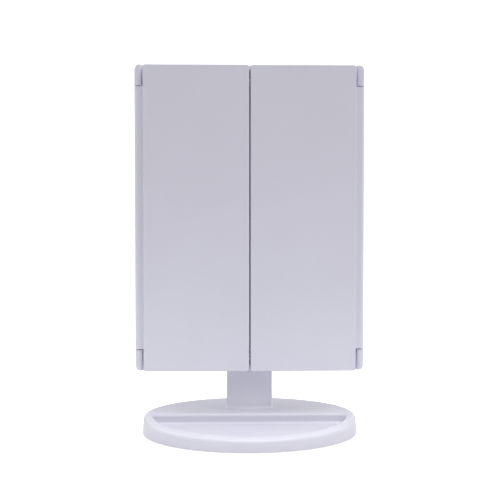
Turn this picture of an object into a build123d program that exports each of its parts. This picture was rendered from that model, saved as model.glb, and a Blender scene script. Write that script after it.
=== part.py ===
"""Tri-fold lighted vanity mirror on an oval tray base, as an assembly of separate pieces.

Frame: +Z up, the mirror faces -Y, origin on the table under the centre of the base. Millimetres.
The wings are modelled closed over the centre mirror, and the head stands upright.
"""

import os
from math import hypot, sqrt

from build123d import *

os.makedirs("parts", exist_ok=True)

# ---------------------------------------------------------------- driving dimensions
HEAD_W = 180.0  # over the hinge knuckles
HEAD_BOTTOM = 49.5
HEAD_TOP = 288.3
HEAD_H = HEAD_TOP - HEAD_BOTTOM
HEAD_MID = (HEAD_TOP + HEAD_BOTTOM) / 2

BASE_W = 168.2
BASE_D = 114.8
BASE_TOP = 15.0  # top of the flat rear land
BASE_LIP = 10.2  # top of the front rim
SKIRT_Z = 0.8  # lower edge of the base's skirt, which the feet lift off the table

FIT = 0.15  # clearance round a part that drops into another
RUN = 0.05  # radial clearance of a pin that turns in a bore
WALL = 2.0

# depths of the head, front to back
WING_FACE = -7.0
WING_RIM = -0.4
FRAME_FRONT = 0.4
FRAME_BACK = 7.0
PANEL_BACK = 12.5
BOX_BACK = 30.0

# wing hinges
KNUCKLE_R = 3.0
HINGE_X = HEAD_W / 2 - KNUCKLE_R
EAR_H = 16.2
EAR_CORNER = 5.0
BARREL_GAP = 0.9
PIN_R = 1.25
PIN_LENGTH = 22.0
PIN_RECESS = 1.6

# tilt hinge and stem
PIVOT_Y = 20.3
PIVOT_Z = 68.0
BOLT_R = 2.5
STEM_W = 37.1
STEM_T = 14.0
STEM_BOW = 3.4
STEM_X_SCREW = 11.0
TILT_KNUCKLE_R = 6.5
TILT_KNUCKLE_HALF = 17.9
SLOT_HALF = 19.2
SLOT_TOP = 80.0
LUG_R = 7.5
LUG_END = 27.2

# centre body and mirror pane
BODY_HALF_W = 83.0
PANE_W = 157.0
PANE_H = 231.5
PANE_FRONT = 0.9
PANE_T = 2.0
PANE_BACK = PANE_FRONT + PANE_T
PLATE_FRONT = 3.7
PLATE_BACK = 5.2

# wings
WING_INNER = 0.55
WING_OUTER = 82.7
WING_TOP = HEAD_TOP - 0.6
WING_W = WING_OUTER - WING_INNER
WING_H = WING_TOP - HEAD_BOTTOM
WING_MID_X = (WING_OUTER + WING_INNER) / 2
WING_MID_Z = (WING_TOP + HEAD_BOTTOM) / 2
WING_SKIN = 1.6
WING_BORDER = 2.6
WING_POCKET = WING_FACE + WING_SKIN
WING_PANE = -0.9  # the mirror side faces +Y while the wing is closed

# rear box and battery bay
BOX_HALF_W = 42.0
BOX_Z0 = 54.0
BOX_Z1 = 154.0
CELL_R = 7.1
CELL_LENGTH = 49.2
CELL_NUB = 1.0
CELL_PITCH = 15.1
CELL_COUNT = 4
BAY_HALF_W = 28.2
BAY_Z0 = 86.0
BAY_Z1 = 147.0
BAY_FLOOR = 12.5
CELL_Y = BAY_FLOOR + 0.3 + CELL_R
DOOR_HALF_W = 33.0
DOOR_Z0 = 84.0
DOOR_Z1 = 149.0
DOOR_T = 1.7

# lamps and the touch switch
LAMP_X = 69.3
LAMP_TOP_Z = HEAD_TOP - 12.7
SIDE_LAMPS = 8
SIDE_PITCH = 27.0
TOP_LAMPS = 5
TOP_PITCH = 22.0
WINDOW_R = 2.5
BOARD_T = 1.2
TOUCH_Z = 62.0
TOUCH_R = 4.5

SIDES = (-1, 1)
SIDE_LAMP_Z = [HEAD_MID + (i - (SIDE_LAMPS - 1) / 2) * SIDE_PITCH for i in range(SIDE_LAMPS)]
TOP_LAMP_X = [(i - (TOP_LAMPS - 1) / 2) * TOP_PITCH for i in range(TOP_LAMPS)]
LAMPS = [(side * LAMP_X, z) for side in SIDES for z in SIDE_LAMP_Z]
LAMPS += [(x, LAMP_TOP_Z) for x in TOP_LAMP_X]
BAY_MID = (BAY_Z0 + BAY_Z1) / 2
CELL_Z = [BAY_MID + (i - (CELL_COUNT - 1) / 2) * CELL_PITCH for i in range(CELL_COUNT)]


def facing(y):
    """A plane at depth y that faces the viewer: local x is to the right, local y is up."""
    return Plane(origin=(0, y, 0), x_dir=(1, 0, 0), z_dir=(0, -1, 0))


def across(x):
    """A plane square to the X axis: local x runs to the back, local y is up."""
    return Plane(origin=(x, 0, 0), x_dir=(0, 1, 0), z_dir=(1, 0, 0))


def cuboid(x0, x1, y0, y1, z0, z1, mode=Mode.ADD):
    """A block between two corners, joined to or cut from the part being built."""
    with Locations(((x0 + x1) / 2, (y0 + y1) / 2, (z0 + z1) / 2)):
        Box(x1 - x0, y1 - y0, z1 - z0, mode=mode)


def rod(plane, points, radius, length, mode=Mode.ADD):
    """Round bars of one radius at the given points of a plane, as long as length along its normal."""
    with BuildSketch(plane) as ends:
        with Locations(*points):
            Circle(radius)
    extrude(ends.sketch, amount=length, mode=mode)


# ================================================================ base
BASE_DRAFT = 0.7
BASE_FILLET = 3.2
TRAY_BACK = 0.0
TRAY_FLOOR = 7.3
RIM_W = 8.4
SLOPE_START = 3.0
SLOPE_BLEND = 180.0
TRAY_A = BASE_W / 2 - RIM_W
TRAY_B = BASE_D / 2 - RIM_W
TRAY_CORNER = 4.0
TRAY_FOOT = 1.5
TRAY_LIP = 1.6
SKIRT_WALL = 2.2
TRAY_SKIN = 1.8
COVER_Z = 1.6
COVER_T = 1.8
COVER_TOP = COVER_Z + COVER_T
BASE_SCREWS = [(-58.0, 20.0), (58.0, 20.0), (-40.0, -34.0), (40.0, -34.0)]
FEET = [(-52.0, 32.0), (52.0, 32.0), (-55.0, -24.0), (55.0, -24.0)]
FOOT_R = 7.0
FOOT_SEAT = 0.6
BOSS_R = 3.2
SCREW_R = 1.2
HEAD_R = 2.6
HEAD_STEP = 0.2  # how far the pan heads sit below the face round them
RECESS_LONG, RECESS_WIDE, RECESS_DEEP = 3.2, 0.6, 1.4  # the cross in a pan head
SINK = 1.2
SUNK_RECESS_LONG, SUNK_RECESS_DEEP = 3.0, 1.2
BASE_SCREW_HOLE = 3.1
BASE_SCREW_SHANK = 3.4
TENON_INSET = 1.5
TENON_Z = 8.6
SOCKET_FLOOR = 2.2
STEM_SCREWS = [(-STEM_X_SCREW, PIVOT_Y), (STEM_X_SCREW, PIVOT_Y)]


def cross_recess(places, head_y):
    """Cuts a cross into the pan heads whose tops are at depth head_y."""
    for x, z in places:
        with Locations((x, head_y, z)):
            Box(RECESS_LONG, RECESS_DEEP, RECESS_WIDE, mode=Mode.SUBTRACT)
            Box(RECESS_WIDE, RECESS_DEEP, RECESS_LONG, mode=Mode.SUBTRACT)


def stem_outline(grow):
    """The stem's section: bowed front and back, flat sides, grown outwards by grow."""
    half = STEM_W / 2
    front, back = PIVOT_Y - STEM_T / 2, PIVOT_Y + STEM_T / 2
    with BuildSketch() as section:
        with BuildLine():
            ThreePointArc((-half, front + STEM_BOW), (0, front), (half, front + STEM_BOW))
            Line((half, front + STEM_BOW), (half, back - STEM_BOW))
            ThreePointArc((half, back - STEM_BOW), (0, back), (-half, back - STEM_BOW))
            Line((-half, back - STEM_BOW), (-half, front + STEM_BOW))
        make_face()
        fillet(section.vertices(), radius=1.8)
        offset(amount=grow, kind=Kind.ARC)
    return section.sketch


def off_centre(edge):
    """How far an edge's middle lies from the base's centre, as a fraction of the oval outline."""
    middle = edge @ 0.5
    return hypot(middle.X / (BASE_W / 2), middle.Y / (BASE_D / 2))


with BuildPart() as base_top:
    # drafted oval body
    with BuildSketch(Plane.XY.offset(SKIRT_Z)):
        Ellipse(BASE_W / 2, BASE_D / 2)
    with BuildSketch(Plane.XY.offset(BASE_TOP + 1)):
        Ellipse(BASE_W / 2 - BASE_DRAFT, BASE_D / 2 - BASE_DRAFT)
    loft()
    # top profile from the side: a flat land at the back, falling gently to the front lip
    drop_per_mm = (BASE_TOP - BASE_LIP) / (BASE_D / 2 + SLOPE_START)
    with BuildSketch(across(-BASE_W)) as side_profile:
        with BuildLine():
            Polyline(
                (-BASE_D, BASE_TOP - drop_per_mm * (BASE_D + SLOPE_START)),
                (SLOPE_START, BASE_TOP),
                (BASE_D, BASE_TOP),
                (BASE_D, 0),
                (-BASE_D, 0),
                close=True,
            )
        make_face()
        fillet(side_profile.vertices().group_by(Axis.Y)[-1].sort_by(Axis.X)[0], radius=SLOPE_BLEND)
    extrude(amount=2 * BASE_W, mode=Mode.INTERSECT)
    rim_edges = base_top.edges().filter_by(lambda e: (e @ 0.5).Z > BASE_LIP - 1 and off_centre(e) > 0.96)
    fillet(rim_edges, radius=BASE_FILLET)
    # the tray: oval at the front, straight at the back
    with BuildSketch(Plane.XY.offset(TRAY_FLOOR)) as tray:
        Ellipse(TRAY_A, TRAY_B)
        with Locations((0, TRAY_BACK + BASE_D / 2)):
            Rectangle(BASE_W, BASE_D, mode=Mode.SUBTRACT)
        fillet(tray.vertices().group_by(Axis.Y)[-1], radius=TRAY_CORNER)
    extrude(amount=BASE_TOP, mode=Mode.SUBTRACT)
    tray_floor = base_top.faces().filter_by(lambda f: abs(f.center().Z - TRAY_FLOOR) < 0.01)
    fillet(tray_floor.edges(), radius=TRAY_FOOT)
    mouth = base_top.edges().filter_by(
        lambda e: (e @ 0.5).Z > TRAY_FLOOR + TRAY_FOOT + 0.1
        and off_centre(e) < 0.92
        and (e @ 0.5).Y < TRAY_BACK + 0.5
        and abs((e @ 0).Z - (e @ 1).Z) < 5
    )
    fillet(mouth.filter_by(lambda e: e.length > 3), radius=TRAY_LIP)
    # hollow underside: one level under the tray, a higher one under the land
    with BuildSketch(Plane.XY.offset(SKIRT_Z)):
        Ellipse(BASE_W / 2 - SKIRT_WALL, BASE_D / 2 - SKIRT_WALL)
    extrude(amount=TRAY_FLOOR - TRAY_SKIN - SKIRT_Z, mode=Mode.SUBTRACT)
    with BuildSketch(Plane.XY.offset(TRAY_FLOOR - TRAY_SKIN)):
        Ellipse(BASE_W / 2 - SKIRT_WALL - BASE_FILLET, BASE_D / 2 - SKIRT_WALL - BASE_FILLET)
        with Locations((0, TRAY_BACK + SKIRT_WALL - BASE_D / 2)):
            Rectangle(BASE_W, BASE_D, mode=Mode.SUBTRACT)
    extrude(amount=BASE_TOP - SKIRT_WALL - TRAY_FLOOR + TRAY_SKIN, mode=Mode.SUBTRACT)
    # socket for the stem's tenon, with a floor that the stem screws pull against
    with BuildSketch(Plane.XY.offset(TENON_Z - SOCKET_FLOOR)):
        add(stem_outline(1.0))
    extrude(amount=BASE_TOP - 1 - TENON_Z + SOCKET_FLOOR)
    with BuildSketch(Plane.XY.offset(TENON_Z)):
        add(stem_outline(FIT - TENON_INSET))
    extrude(amount=BASE_TOP, mode=Mode.SUBTRACT)
    rod(Plane.XY.offset(SKIRT_Z), STEM_SCREWS, SCREW_R + FIT, TENON_Z, Mode.SUBTRACT)
    # bosses that take the cover screws
    rod(Plane.XY.offset(COVER_TOP), BASE_SCREWS[:2], BOSS_R, BASE_TOP - SKIRT_WALL - COVER_TOP)
    rod(Plane.XY.offset(COVER_TOP), BASE_SCREWS[2:], BOSS_R, TRAY_FLOOR - TRAY_SKIN - COVER_TOP)
    rod(Plane.XY.offset(COVER_TOP), BASE_SCREWS, SCREW_R, BASE_SCREW_HOLE, Mode.SUBTRACT)
base_top.part.label = "base_top"
export_step(base_top.part, "parts/base_top.step")

with BuildPart() as base_bottom_cover:
    with BuildSketch(Plane.XY.offset(COVER_Z)):
        Ellipse(BASE_W / 2 - SKIRT_WALL - FIT, BASE_D / 2 - SKIRT_WALL - FIT)
    extrude(amount=COVER_T)
    rod(Plane.XY.offset(COVER_Z), FEET, FOOT_R + FIT, FOOT_SEAT, Mode.SUBTRACT)
    rod(Plane.XY.offset(COVER_Z), BASE_SCREWS, SCREW_R + FIT, COVER_T, Mode.SUBTRACT)
    for x, y in BASE_SCREWS:
        with Locations((x, y, COVER_Z + SINK / 2)):
            Cone(HEAD_R + FIT, SCREW_R + FIT, SINK, mode=Mode.SUBTRACT)
base_bottom_cover.part.label = "base_bottom_cover"
export_step(base_bottom_cover.part, "parts/base_bottom_cover.step")

with BuildPart() as rubber_feet:
    rod(Plane.XY, FEET, FOOT_R, COVER_Z + FOOT_SEAT)
    fillet(rubber_feet.faces().group_by(Axis.Z)[0].edges(), radius=0.5)
rubber_feet.part.label = "rubber_feet"
export_step(rubber_feet.part, "parts/rubber_feet.step")

with BuildPart() as base_cover_screws:
    for x, y in BASE_SCREWS:
        with Locations((x, y, COVER_Z + SINK / 2)):
            Cone(HEAD_R, SCREW_R, SINK)
    rod(Plane.XY.offset(COVER_Z + SINK), BASE_SCREWS, SCREW_R, BASE_SCREW_SHANK)
    for x, y in BASE_SCREWS:
        with Locations((x, y, COVER_Z)):
            Box(SUNK_RECESS_LONG, RECESS_WIDE, SUNK_RECESS_DEEP, mode=Mode.SUBTRACT)
            Box(RECESS_WIDE, SUNK_RECESS_LONG, SUNK_RECESS_DEEP, mode=Mode.SUBTRACT)
base_cover_screws.part.label = "base_cover_screws"
export_step(base_cover_screws.part, "parts/base_cover_screws.step")

# ================================================================ stem
COLLAR_H = 2.4
COLLAR_GROW = 1.2
NECK_Z = PIVOT_Z - TILT_KNUCKLE_R - 2.0
HATCH_HALF = 14.0
HATCH_Z0 = 20.0
HATCH_Z1 = 57.0
HATCH_FRONT = 24.2
HOLLOW_FRONT = 16.4
HOLLOW_HALF = 12.0
HATCH_SCREWS = [(0, 27.0), (0, 50.0)]
HATCH_BOSS_R = 2.8
HATCH_HEAD_T = 1.5
HATCH_SCREW_LENGTH = 7.6
HATCH_HOLE = 6.0
SEAT_GAP = 0.02  # keeps a flat seat from touching
HOLLOW_END = 3.0
STEM_HEAD_R, STEM_HEAD_T, STEM_SCREW_LENGTH = 3.0, 1.8, 12.0

with BuildPart() as stem_body:
    with BuildSketch(Plane.XY.offset(BASE_TOP)):
        add(stem_outline(0))
    extrude(amount=PIVOT_Z - BASE_TOP)
    # flared collar that hides the joint with the base
    with BuildSketch(Plane.XY.offset(BASE_TOP)):
        add(stem_outline(COLLAR_GROW))
    with BuildSketch(Plane.XY.offset(BASE_TOP + COLLAR_H)):
        add(stem_outline(0.05))
    loft()
    # tenon in the base
    with BuildSketch(Plane.XY.offset(TENON_Z)):
        add(stem_outline(-TENON_INSET))
    extrude(amount=BASE_TOP - TENON_Z)
    # the shoulders narrow to leave room for the washers, and the top carries the knuckle
    for side in SIDES:
        inner, outer = sorted((side * TILT_KNUCKLE_HALF, side * STEM_W))
        cuboid(inner, outer, 0, BOX_BACK, NECK_Z, SLOT_TOP, Mode.SUBTRACT)
    rod(across(-TILT_KNUCKLE_HALF), [(PIVOT_Y, PIVOT_Z)], TILT_KNUCKLE_R, 2 * TILT_KNUCKLE_HALF)
    rod(across(-STEM_W), [(PIVOT_Y, PIVOT_Z)], BOLT_R + RUN, 2 * STEM_W, Mode.SUBTRACT)
    # hollow, closed by a hatch at the back
    seat_half = HATCH_HALF + FIT
    cuboid(-seat_half, seat_half, HATCH_FRONT, BOX_BACK, HATCH_Z0 - FIT, HATCH_Z1 + FIT, Mode.SUBTRACT)
    cuboid(-HOLLOW_HALF, HOLLOW_HALF, HOLLOW_FRONT, HATCH_FRONT, HATCH_Z0 + HOLLOW_END, HATCH_Z1 - HOLLOW_END,
           Mode.SUBTRACT)
    rod(facing(HATCH_FRONT), HATCH_SCREWS, HATCH_BOSS_R, HATCH_FRONT - HOLLOW_FRONT + 0.5)
    rod(facing(HATCH_FRONT), HATCH_SCREWS, SCREW_R, HATCH_HOLE, Mode.SUBTRACT)
    rod(Plane.XY.offset(TENON_Z), STEM_SCREWS, SCREW_R, STEM_SCREW_LENGTH - SOCKET_FLOOR + 0.6, Mode.SUBTRACT)
stem_body.part.label = "stem_body"
export_step(stem_body.part, "parts/stem_body.step")

with BuildPart() as stem_hatch:
    with BuildSketch(Plane.XY.offset(HATCH_Z0)):
        add(stem_outline(0))
    extrude(amount=HATCH_Z1 - HATCH_Z0)
    cuboid(-HATCH_HALF, HATCH_HALF, HATCH_FRONT + SEAT_GAP, BOX_BACK, HATCH_Z0, HATCH_Z1, Mode.INTERSECT)
    rod(facing(BOX_BACK), HATCH_SCREWS, SCREW_R + FIT, BOX_BACK - HATCH_FRONT, Mode.SUBTRACT)
    head_seat = PIVOT_Y + STEM_T / 2 - HATCH_HEAD_T
    rod(facing(BOX_BACK), HATCH_SCREWS, HEAD_R + FIT, BOX_BACK - head_seat, Mode.SUBTRACT)
stem_hatch.part.label = "stem_hatch"
export_step(stem_hatch.part, "parts/stem_hatch.step")

with BuildPart() as stem_hatch_screws:
    head_y = PIVOT_Y + STEM_T / 2 - HEAD_STEP
    rod(facing(head_y), HATCH_SCREWS, HEAD_R, HATCH_HEAD_T - HEAD_STEP - SEAT_GAP)
    rod(facing(head_y), HATCH_SCREWS, SCREW_R, HATCH_SCREW_LENGTH)
    cross_recess(HATCH_SCREWS, head_y)
stem_hatch_screws.part.label = "stem_hatch_screws"
export_step(stem_hatch_screws.part, "parts/stem_hatch_screws.step")

with BuildPart() as stem_base_screws:
    screw_z = TENON_Z - SOCKET_FLOOR
    rod(Plane.XY.offset(screw_z - STEM_HEAD_T), STEM_SCREWS, STEM_HEAD_R, STEM_HEAD_T)
    rod(Plane.XY.offset(screw_z), STEM_SCREWS, SCREW_R, STEM_SCREW_LENGTH)
stem_base_screws.part.label = "stem_base_screws"
export_step(stem_base_screws.part, "parts/stem_base_screws.step")

# ================================================================ tilt hinge
WASHER_R = 6.0
WASHER_T = SLOT_HALF - TILT_KNUCKLE_HALF - 0.1
CUP_R, CUP_T = 4.9, 1.2
BOLT_HEAD_T = 3.5
BOLT_ACROSS = 8.0
NUT_T = 4.0
BOLT_END = LUG_END + CUP_T

with BuildPart() as friction_washers:
    for start in (-TILT_KNUCKLE_HALF - WASHER_T, TILT_KNUCKLE_HALF):
        rod(across(start), [(PIVOT_Y, PIVOT_Z)], WASHER_R, WASHER_T)
    rod(across(-STEM_W), [(PIVOT_Y, PIVOT_Z)], BOLT_R + RUN, 2 * STEM_W, Mode.SUBTRACT)
friction_washers.part.label = "friction_washers"
export_step(friction_washers.part, "parts/friction_washers.step")

with BuildPart() as spring_washers:
    for start in (-LUG_END - CUP_T, LUG_END):
        rod(across(start), [(PIVOT_Y, PIVOT_Z)], CUP_R, CUP_T)
    rod(across(-STEM_W), [(PIVOT_Y, PIVOT_Z)], BOLT_R + RUN, 2 * STEM_W, Mode.SUBTRACT)
spring_washers.part.label = "spring_washers"
export_step(spring_washers.part, "parts/spring_washers.step")

with BuildPart() as tilt_bolt:
    rod(across(-BOLT_END - NUT_T), [(PIVOT_Y, PIVOT_Z)], BOLT_R, 2 * BOLT_END + NUT_T)
    with BuildSketch(across(BOLT_END)):
        with Locations((PIVOT_Y, PIVOT_Z)):
            RegularPolygon(BOLT_ACROSS / 2, 6, major_radius=False)
    extrude(amount=BOLT_HEAD_T)
tilt_bolt.part.label = "tilt_bolt"
export_step(tilt_bolt.part, "parts/tilt_bolt.step")

with BuildPart() as tilt_nut:
    with BuildSketch(across(-BOLT_END - NUT_T)):
        with Locations((PIVOT_Y, PIVOT_Z)):
            RegularPolygon(BOLT_ACROSS / 2, 6, major_radius=False)
            Circle(BOLT_R + 0.02, mode=Mode.SUBTRACT)
    extrude(amount=NUT_T)
tilt_nut.part.label = "tilt_nut"
export_step(tilt_nut.part, "parts/tilt_nut.step")

# ================================================================ head: front frame and centre mirror
FRAME_WALL = 2.0
PLATE_HOLE_R = 3.0
COVER_SCREWS = [(x, z) for x in (-73.0, 73.0) for z in (HEAD_BOTTOM + 8, HEAD_TOP - 8)]
COVER_SCREWS += [(-47.0, HEAD_BOTTOM + 8), (47.0, HEAD_BOTTOM + 8)]
COVER_BOSS_R = 3.6
BOSS_MEET = 8.6
SCREW_SEAT = 10.8
BOARD_POSTS = [(30.0, 66.0), (58.0, 80.0)]
POST_R = 2.2
PANE_PLAY = 0.04  # round the frosted windows in the mirror
TAPE_INSET = 2.0
TAPE_SIDE, TAPE_END = 14.0, 23.0
PAD_R, PAD_T = 7.0, 0.3
CONTROL_Y = 7.4
EARS = [(side, z) for side in SIDES for z in (HEAD_BOTTOM, HEAD_TOP - EAR_H)]

with BuildPart() as front_frame:
    with BuildSketch(facing(FRAME_BACK)):
        with Locations((0, HEAD_MID)):
            Rectangle(2 * BODY_HALF_W, HEAD_H)
    extrude(amount=FRAME_BACK - FRAME_FRONT)
    # hinge ears at the four corners
    for side, ear_z in EARS:
        with BuildSketch(Plane.XY.offset(ear_z)):
            with Locations((side * HINGE_X, 0)):
                Circle(KNUCKLE_R)
            with Locations((side * HINGE_X, FRAME_BACK / 2)):
                Rectangle(2 * KNUCKLE_R, FRAME_BACK)
            with Locations((side * (BODY_HALF_W + 0.5), (FRAME_FRONT + FRAME_BACK) / 2)):
                Rectangle(3.0, FRAME_BACK - FRAME_FRONT)
        extrude(amount=EAR_H)
    with BuildSketch(facing(FRAME_BACK)):
        with Locations((0, HEAD_MID)):
            RectangleRounded(HEAD_W, HEAD_H, EAR_CORNER)
    extrude(amount=FRAME_BACK + KNUCKLE_R, mode=Mode.INTERSECT)
    for side, ear_z in EARS:
        rod(Plane.XY.offset(ear_z), [(side * HINGE_X, 0)], PIN_R, EAR_H, Mode.SUBTRACT)
    # seat for the mirror pane, and the hollow behind the plate
    with BuildSketch(facing(PLATE_FRONT)):
        with Locations((0, HEAD_MID)):
            RectangleRounded(PANE_W + 2 * FIT, PANE_H + 2 * FIT, 2.0)
    extrude(amount=PLATE_FRONT, mode=Mode.SUBTRACT)
    hollow_half = BODY_HALF_W - FRAME_WALL
    cuboid(-hollow_half, hollow_half, PLATE_BACK, FRAME_BACK, HEAD_BOTTOM + FRAME_WALL, HEAD_TOP - FRAME_WALL,
           Mode.SUBTRACT)
    rod(facing(BOSS_MEET), COVER_SCREWS, COVER_BOSS_R, BOSS_MEET - PLATE_BACK)
    rod(facing(CONTROL_Y), BOARD_POSTS, POST_R, CONTROL_Y - PLATE_BACK)
    rod(facing(BOSS_MEET), COVER_SCREWS, SCREW_R, BOSS_MEET - PLATE_BACK + 0.6, Mode.SUBTRACT)
    rod(facing(PLATE_BACK), LAMPS, PLATE_HOLE_R, PLATE_BACK - PLATE_FRONT, Mode.SUBTRACT)
front_frame.part.label = "front_frame"
export_step(front_frame.part, "parts/front_frame.step")

with BuildPart() as centre_mirror:
    with BuildSketch(facing(PANE_BACK)):
        with Locations((0, HEAD_MID)):
            RectangleRounded(PANE_W, PANE_H, 1.8)
        with Locations(*LAMPS):
            Circle(WINDOW_R + PANE_PLAY, mode=Mode.SUBTRACT)
        with Locations((0, TOUCH_Z)):
            Circle(TOUCH_R + PANE_PLAY, mode=Mode.SUBTRACT)
    extrude(amount=PANE_T)
centre_mirror.part.label = "centre_mirror"
export_step(centre_mirror.part, "parts/centre_mirror.step")

with BuildPart() as centre_mirror_tape:
    with BuildSketch(facing(PLATE_FRONT)):
        with Locations((0, HEAD_MID)):
            tape_w, tape_h = PANE_W - 2 * TAPE_INSET, PANE_H - 2 * TAPE_INSET
            Rectangle(tape_w, tape_h)
            Rectangle(tape_w - 2 * TAPE_SIDE, tape_h - 2 * TAPE_END, mode=Mode.SUBTRACT)
        with Locations(*LAMPS):
            Circle(PLATE_HOLE_R, mode=Mode.SUBTRACT)
        with Locations((0, TOUCH_Z)):
            Circle(PAD_R + 1, mode=Mode.SUBTRACT)
    extrude(amount=PLATE_FRONT - PANE_BACK)
centre_mirror_tape.part.label = "centre_mirror_tape"
export_step(centre_mirror_tape.part, "parts/centre_mirror_tape.step")

with BuildPart() as lamp_windows:
    rod(facing(PANE_BACK), LAMPS, WINDOW_R, PANE_T)
lamp_windows.part.label = "lamp_windows"
export_step(lamp_windows.part, "parts/lamp_windows.step")

with BuildPart() as touch_window:
    rod(facing(PANE_BACK), [(0, TOUCH_Z)], TOUCH_R, PANE_T)
touch_window.part.label = "touch_window"
export_step(touch_window.part, "parts/touch_window.step")

with BuildPart() as touch_pad:
    rod(facing(PANE_BACK + PAD_T), [(0, TOUCH_Z)], PAD_R, PAD_T)
touch_pad.part.label = "touch_pad"
export_step(touch_pad.part, "parts/touch_pad.step")

# ================================================================ head: electronics
LED_W = 3.5
LED_H = 2.8
LED_T = 1.6
BOARD_W = 9.0
CONTROL_X0, CONTROL_X1 = 26.0, 62.0
CONTROL_Z0, CONTROL_Z1 = 62.0, 84.0
CHIPS = [  # left, right, height over the board, bottom, top
    (34.0, 39.0, 1.5, 70.0, 76.0),
    (46.0, 49.0, 1.1, 72.0, 76.0),
    (52.0, 56.0, 1.4, 66.0, 69.0),
    (31.0, 32.2, 0.8, 66.0, 68.0),
    (42.0, 43.2, 0.8, 66.0, 68.0),
    (45.0, 46.2, 0.8, 66.0, 68.0),
]
USB_Y, USB_Z = 17.0, 78.0
USB_W, USB_H, USB_DEPTH = 7.5, 2.6, 5.6
USB_X = 0.6 - BOX_HALF_W  # mouth of the socket
USB_SHELL = 0.5
USB_TONGUE_HALF, USB_TONGUE_T = 1.9, 0.6
USB_BOARD_END, USB_BOARD_HALF = -29.0, 6.0
SWITCH_X, SWITCH_Z = 36.0, 70.0
KNOB_HALF_W = 1.5
KNOB_LENGTH = 3.6
KNOB_TRAVEL = 3.0
KNOB_FRONT = 25.4
KNOB_BACK = 31.0
KNOB_RIBS = (-1.0, 0.0, 1.0)
RIB_GROOVE = (2.2, 0.6, 0.4)
SLOT_PLAY = 0.3
SWITCH_HALF_W, SWITCH_HALF_H, SWITCH_FRONT = 3.4, 6.5, 21.5

side_board_length = (SIDE_LAMPS - 1) * SIDE_PITCH + 12
for side, side_name in ((-1, "left"), (1, "right")):
    with BuildPart() as side_board:
        cuboid(side * LAMP_X - BOARD_W / 2, side * LAMP_X + BOARD_W / 2, PLATE_BACK, PLATE_BACK + BOARD_T,
               HEAD_MID - side_board_length / 2, HEAD_MID + side_board_length / 2)
    side_board.part.label = f"lamp_board_{side_name}"
    export_step(side_board.part, f"parts/lamp_board_{side_name}.step")

with BuildPart() as top_board:
    top_half = (TOP_LAMPS - 1) * TOP_PITCH / 2 + 6
    cuboid(-top_half, top_half, PLATE_BACK, PLATE_BACK + BOARD_T, LAMP_TOP_Z - BOARD_W / 2,
           LAMP_TOP_Z + BOARD_W / 2)
top_board.part.label = "lamp_board_top"
export_step(top_board.part, "parts/lamp_board_top.step")

with BuildPart() as lamps:
    with BuildSketch(facing(PLATE_BACK)):
        with Locations(*LAMPS):
            Rectangle(LED_W, LED_H)
    extrude(amount=LED_T)
lamps.part.label = "lamps"
export_step(lamps.part, "parts/lamps.step")

with BuildPart() as control_board:
    cuboid(CONTROL_X0, CONTROL_X1, CONTROL_Y, CONTROL_Y + BOARD_T, CONTROL_Z0, CONTROL_Z1)
control_board.part.label = "control_board"
export_step(control_board.part, "parts/control_board.step")

with BuildPart() as board_parts:
    board_back = CONTROL_Y + BOARD_T
    for x0, x1, height, z0, z1 in CHIPS:
        cuboid(x0, x1, board_back, board_back + height, z0, z1)
board_parts.part.label = "board_parts"
export_step(board_parts.part, "parts/board_parts.step")

with BuildPart() as usb_board:
    cuboid(WALL + 0.4 - BOX_HALF_W, USB_BOARD_END, USB_Y - USB_BOARD_HALF, USB_Y + USB_BOARD_HALF,
           USB_Z - BOARD_T, USB_Z)
usb_board.part.label = "usb_board"
export_step(usb_board.part, "parts/usb_board.step")

with BuildPart() as usb_socket:
    cuboid(USB_X, USB_X + USB_DEPTH, USB_Y - USB_W / 2, USB_Y + USB_W / 2, USB_Z, USB_Z + USB_H)
    chamfer(usb_socket.edges().filter_by(Axis.X).group_by(Axis.Z)[-1], length=0.7)
    mouth_half = USB_W / 2 - USB_SHELL
    cuboid(USB_X, USB_X + USB_DEPTH - 1, USB_Y - mouth_half, USB_Y + mouth_half, USB_Z + USB_SHELL,
           USB_Z + USB_H - USB_SHELL, Mode.SUBTRACT)
    tongue_z = USB_Z + (USB_H - USB_TONGUE_T) / 2
    cuboid(USB_X + 0.6, USB_X + USB_DEPTH - 0.5, USB_Y - USB_TONGUE_HALF, USB_Y + USB_TONGUE_HALF, tongue_z,
           tongue_z + USB_TONGUE_T)
usb_socket.part.label = "usb_socket"
export_step(usb_socket.part, "parts/usb_socket.step")

knob_z0 = SWITCH_Z - (KNOB_LENGTH + KNOB_TRAVEL) / 2
slot_half_h = (KNOB_LENGTH + KNOB_TRAVEL) / 2 + SLOT_PLAY
with BuildPart() as switch_body:
    cuboid(SWITCH_X - SWITCH_HALF_W, SWITCH_X + SWITCH_HALF_W, SWITCH_FRONT, BOX_BACK - WALL - 0.05,
           SWITCH_Z - SWITCH_HALF_H, SWITCH_Z + SWITCH_HALF_H)
    cuboid(SWITCH_X - KNOB_HALF_W - SLOT_PLAY, SWITCH_X + KNOB_HALF_W + SLOT_PLAY, KNOB_FRONT - 0.3, BOX_BACK,
           SWITCH_Z - slot_half_h, SWITCH_Z + slot_half_h, Mode.SUBTRACT)
switch_body.part.label = "switch_body"
export_step(switch_body.part, "parts/switch_body.step")

with BuildPart() as switch_knob:
    cuboid(SWITCH_X - KNOB_HALF_W, SWITCH_X + KNOB_HALF_W, KNOB_FRONT, KNOB_BACK, knob_z0,
           knob_z0 + KNOB_LENGTH)
    fillet(switch_knob.faces().sort_by(Axis.Y)[-1].edges(), radius=0.3)
    for step in KNOB_RIBS:
        with Locations((SWITCH_X, KNOB_BACK, knob_z0 + KNOB_LENGTH / 2 + step)):
            Box(*RIB_GROOVE, mode=Mode.SUBTRACT)
switch_knob.part.label = "switch_knob"
export_step(switch_knob.part, "parts/switch_knob.step")

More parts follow.
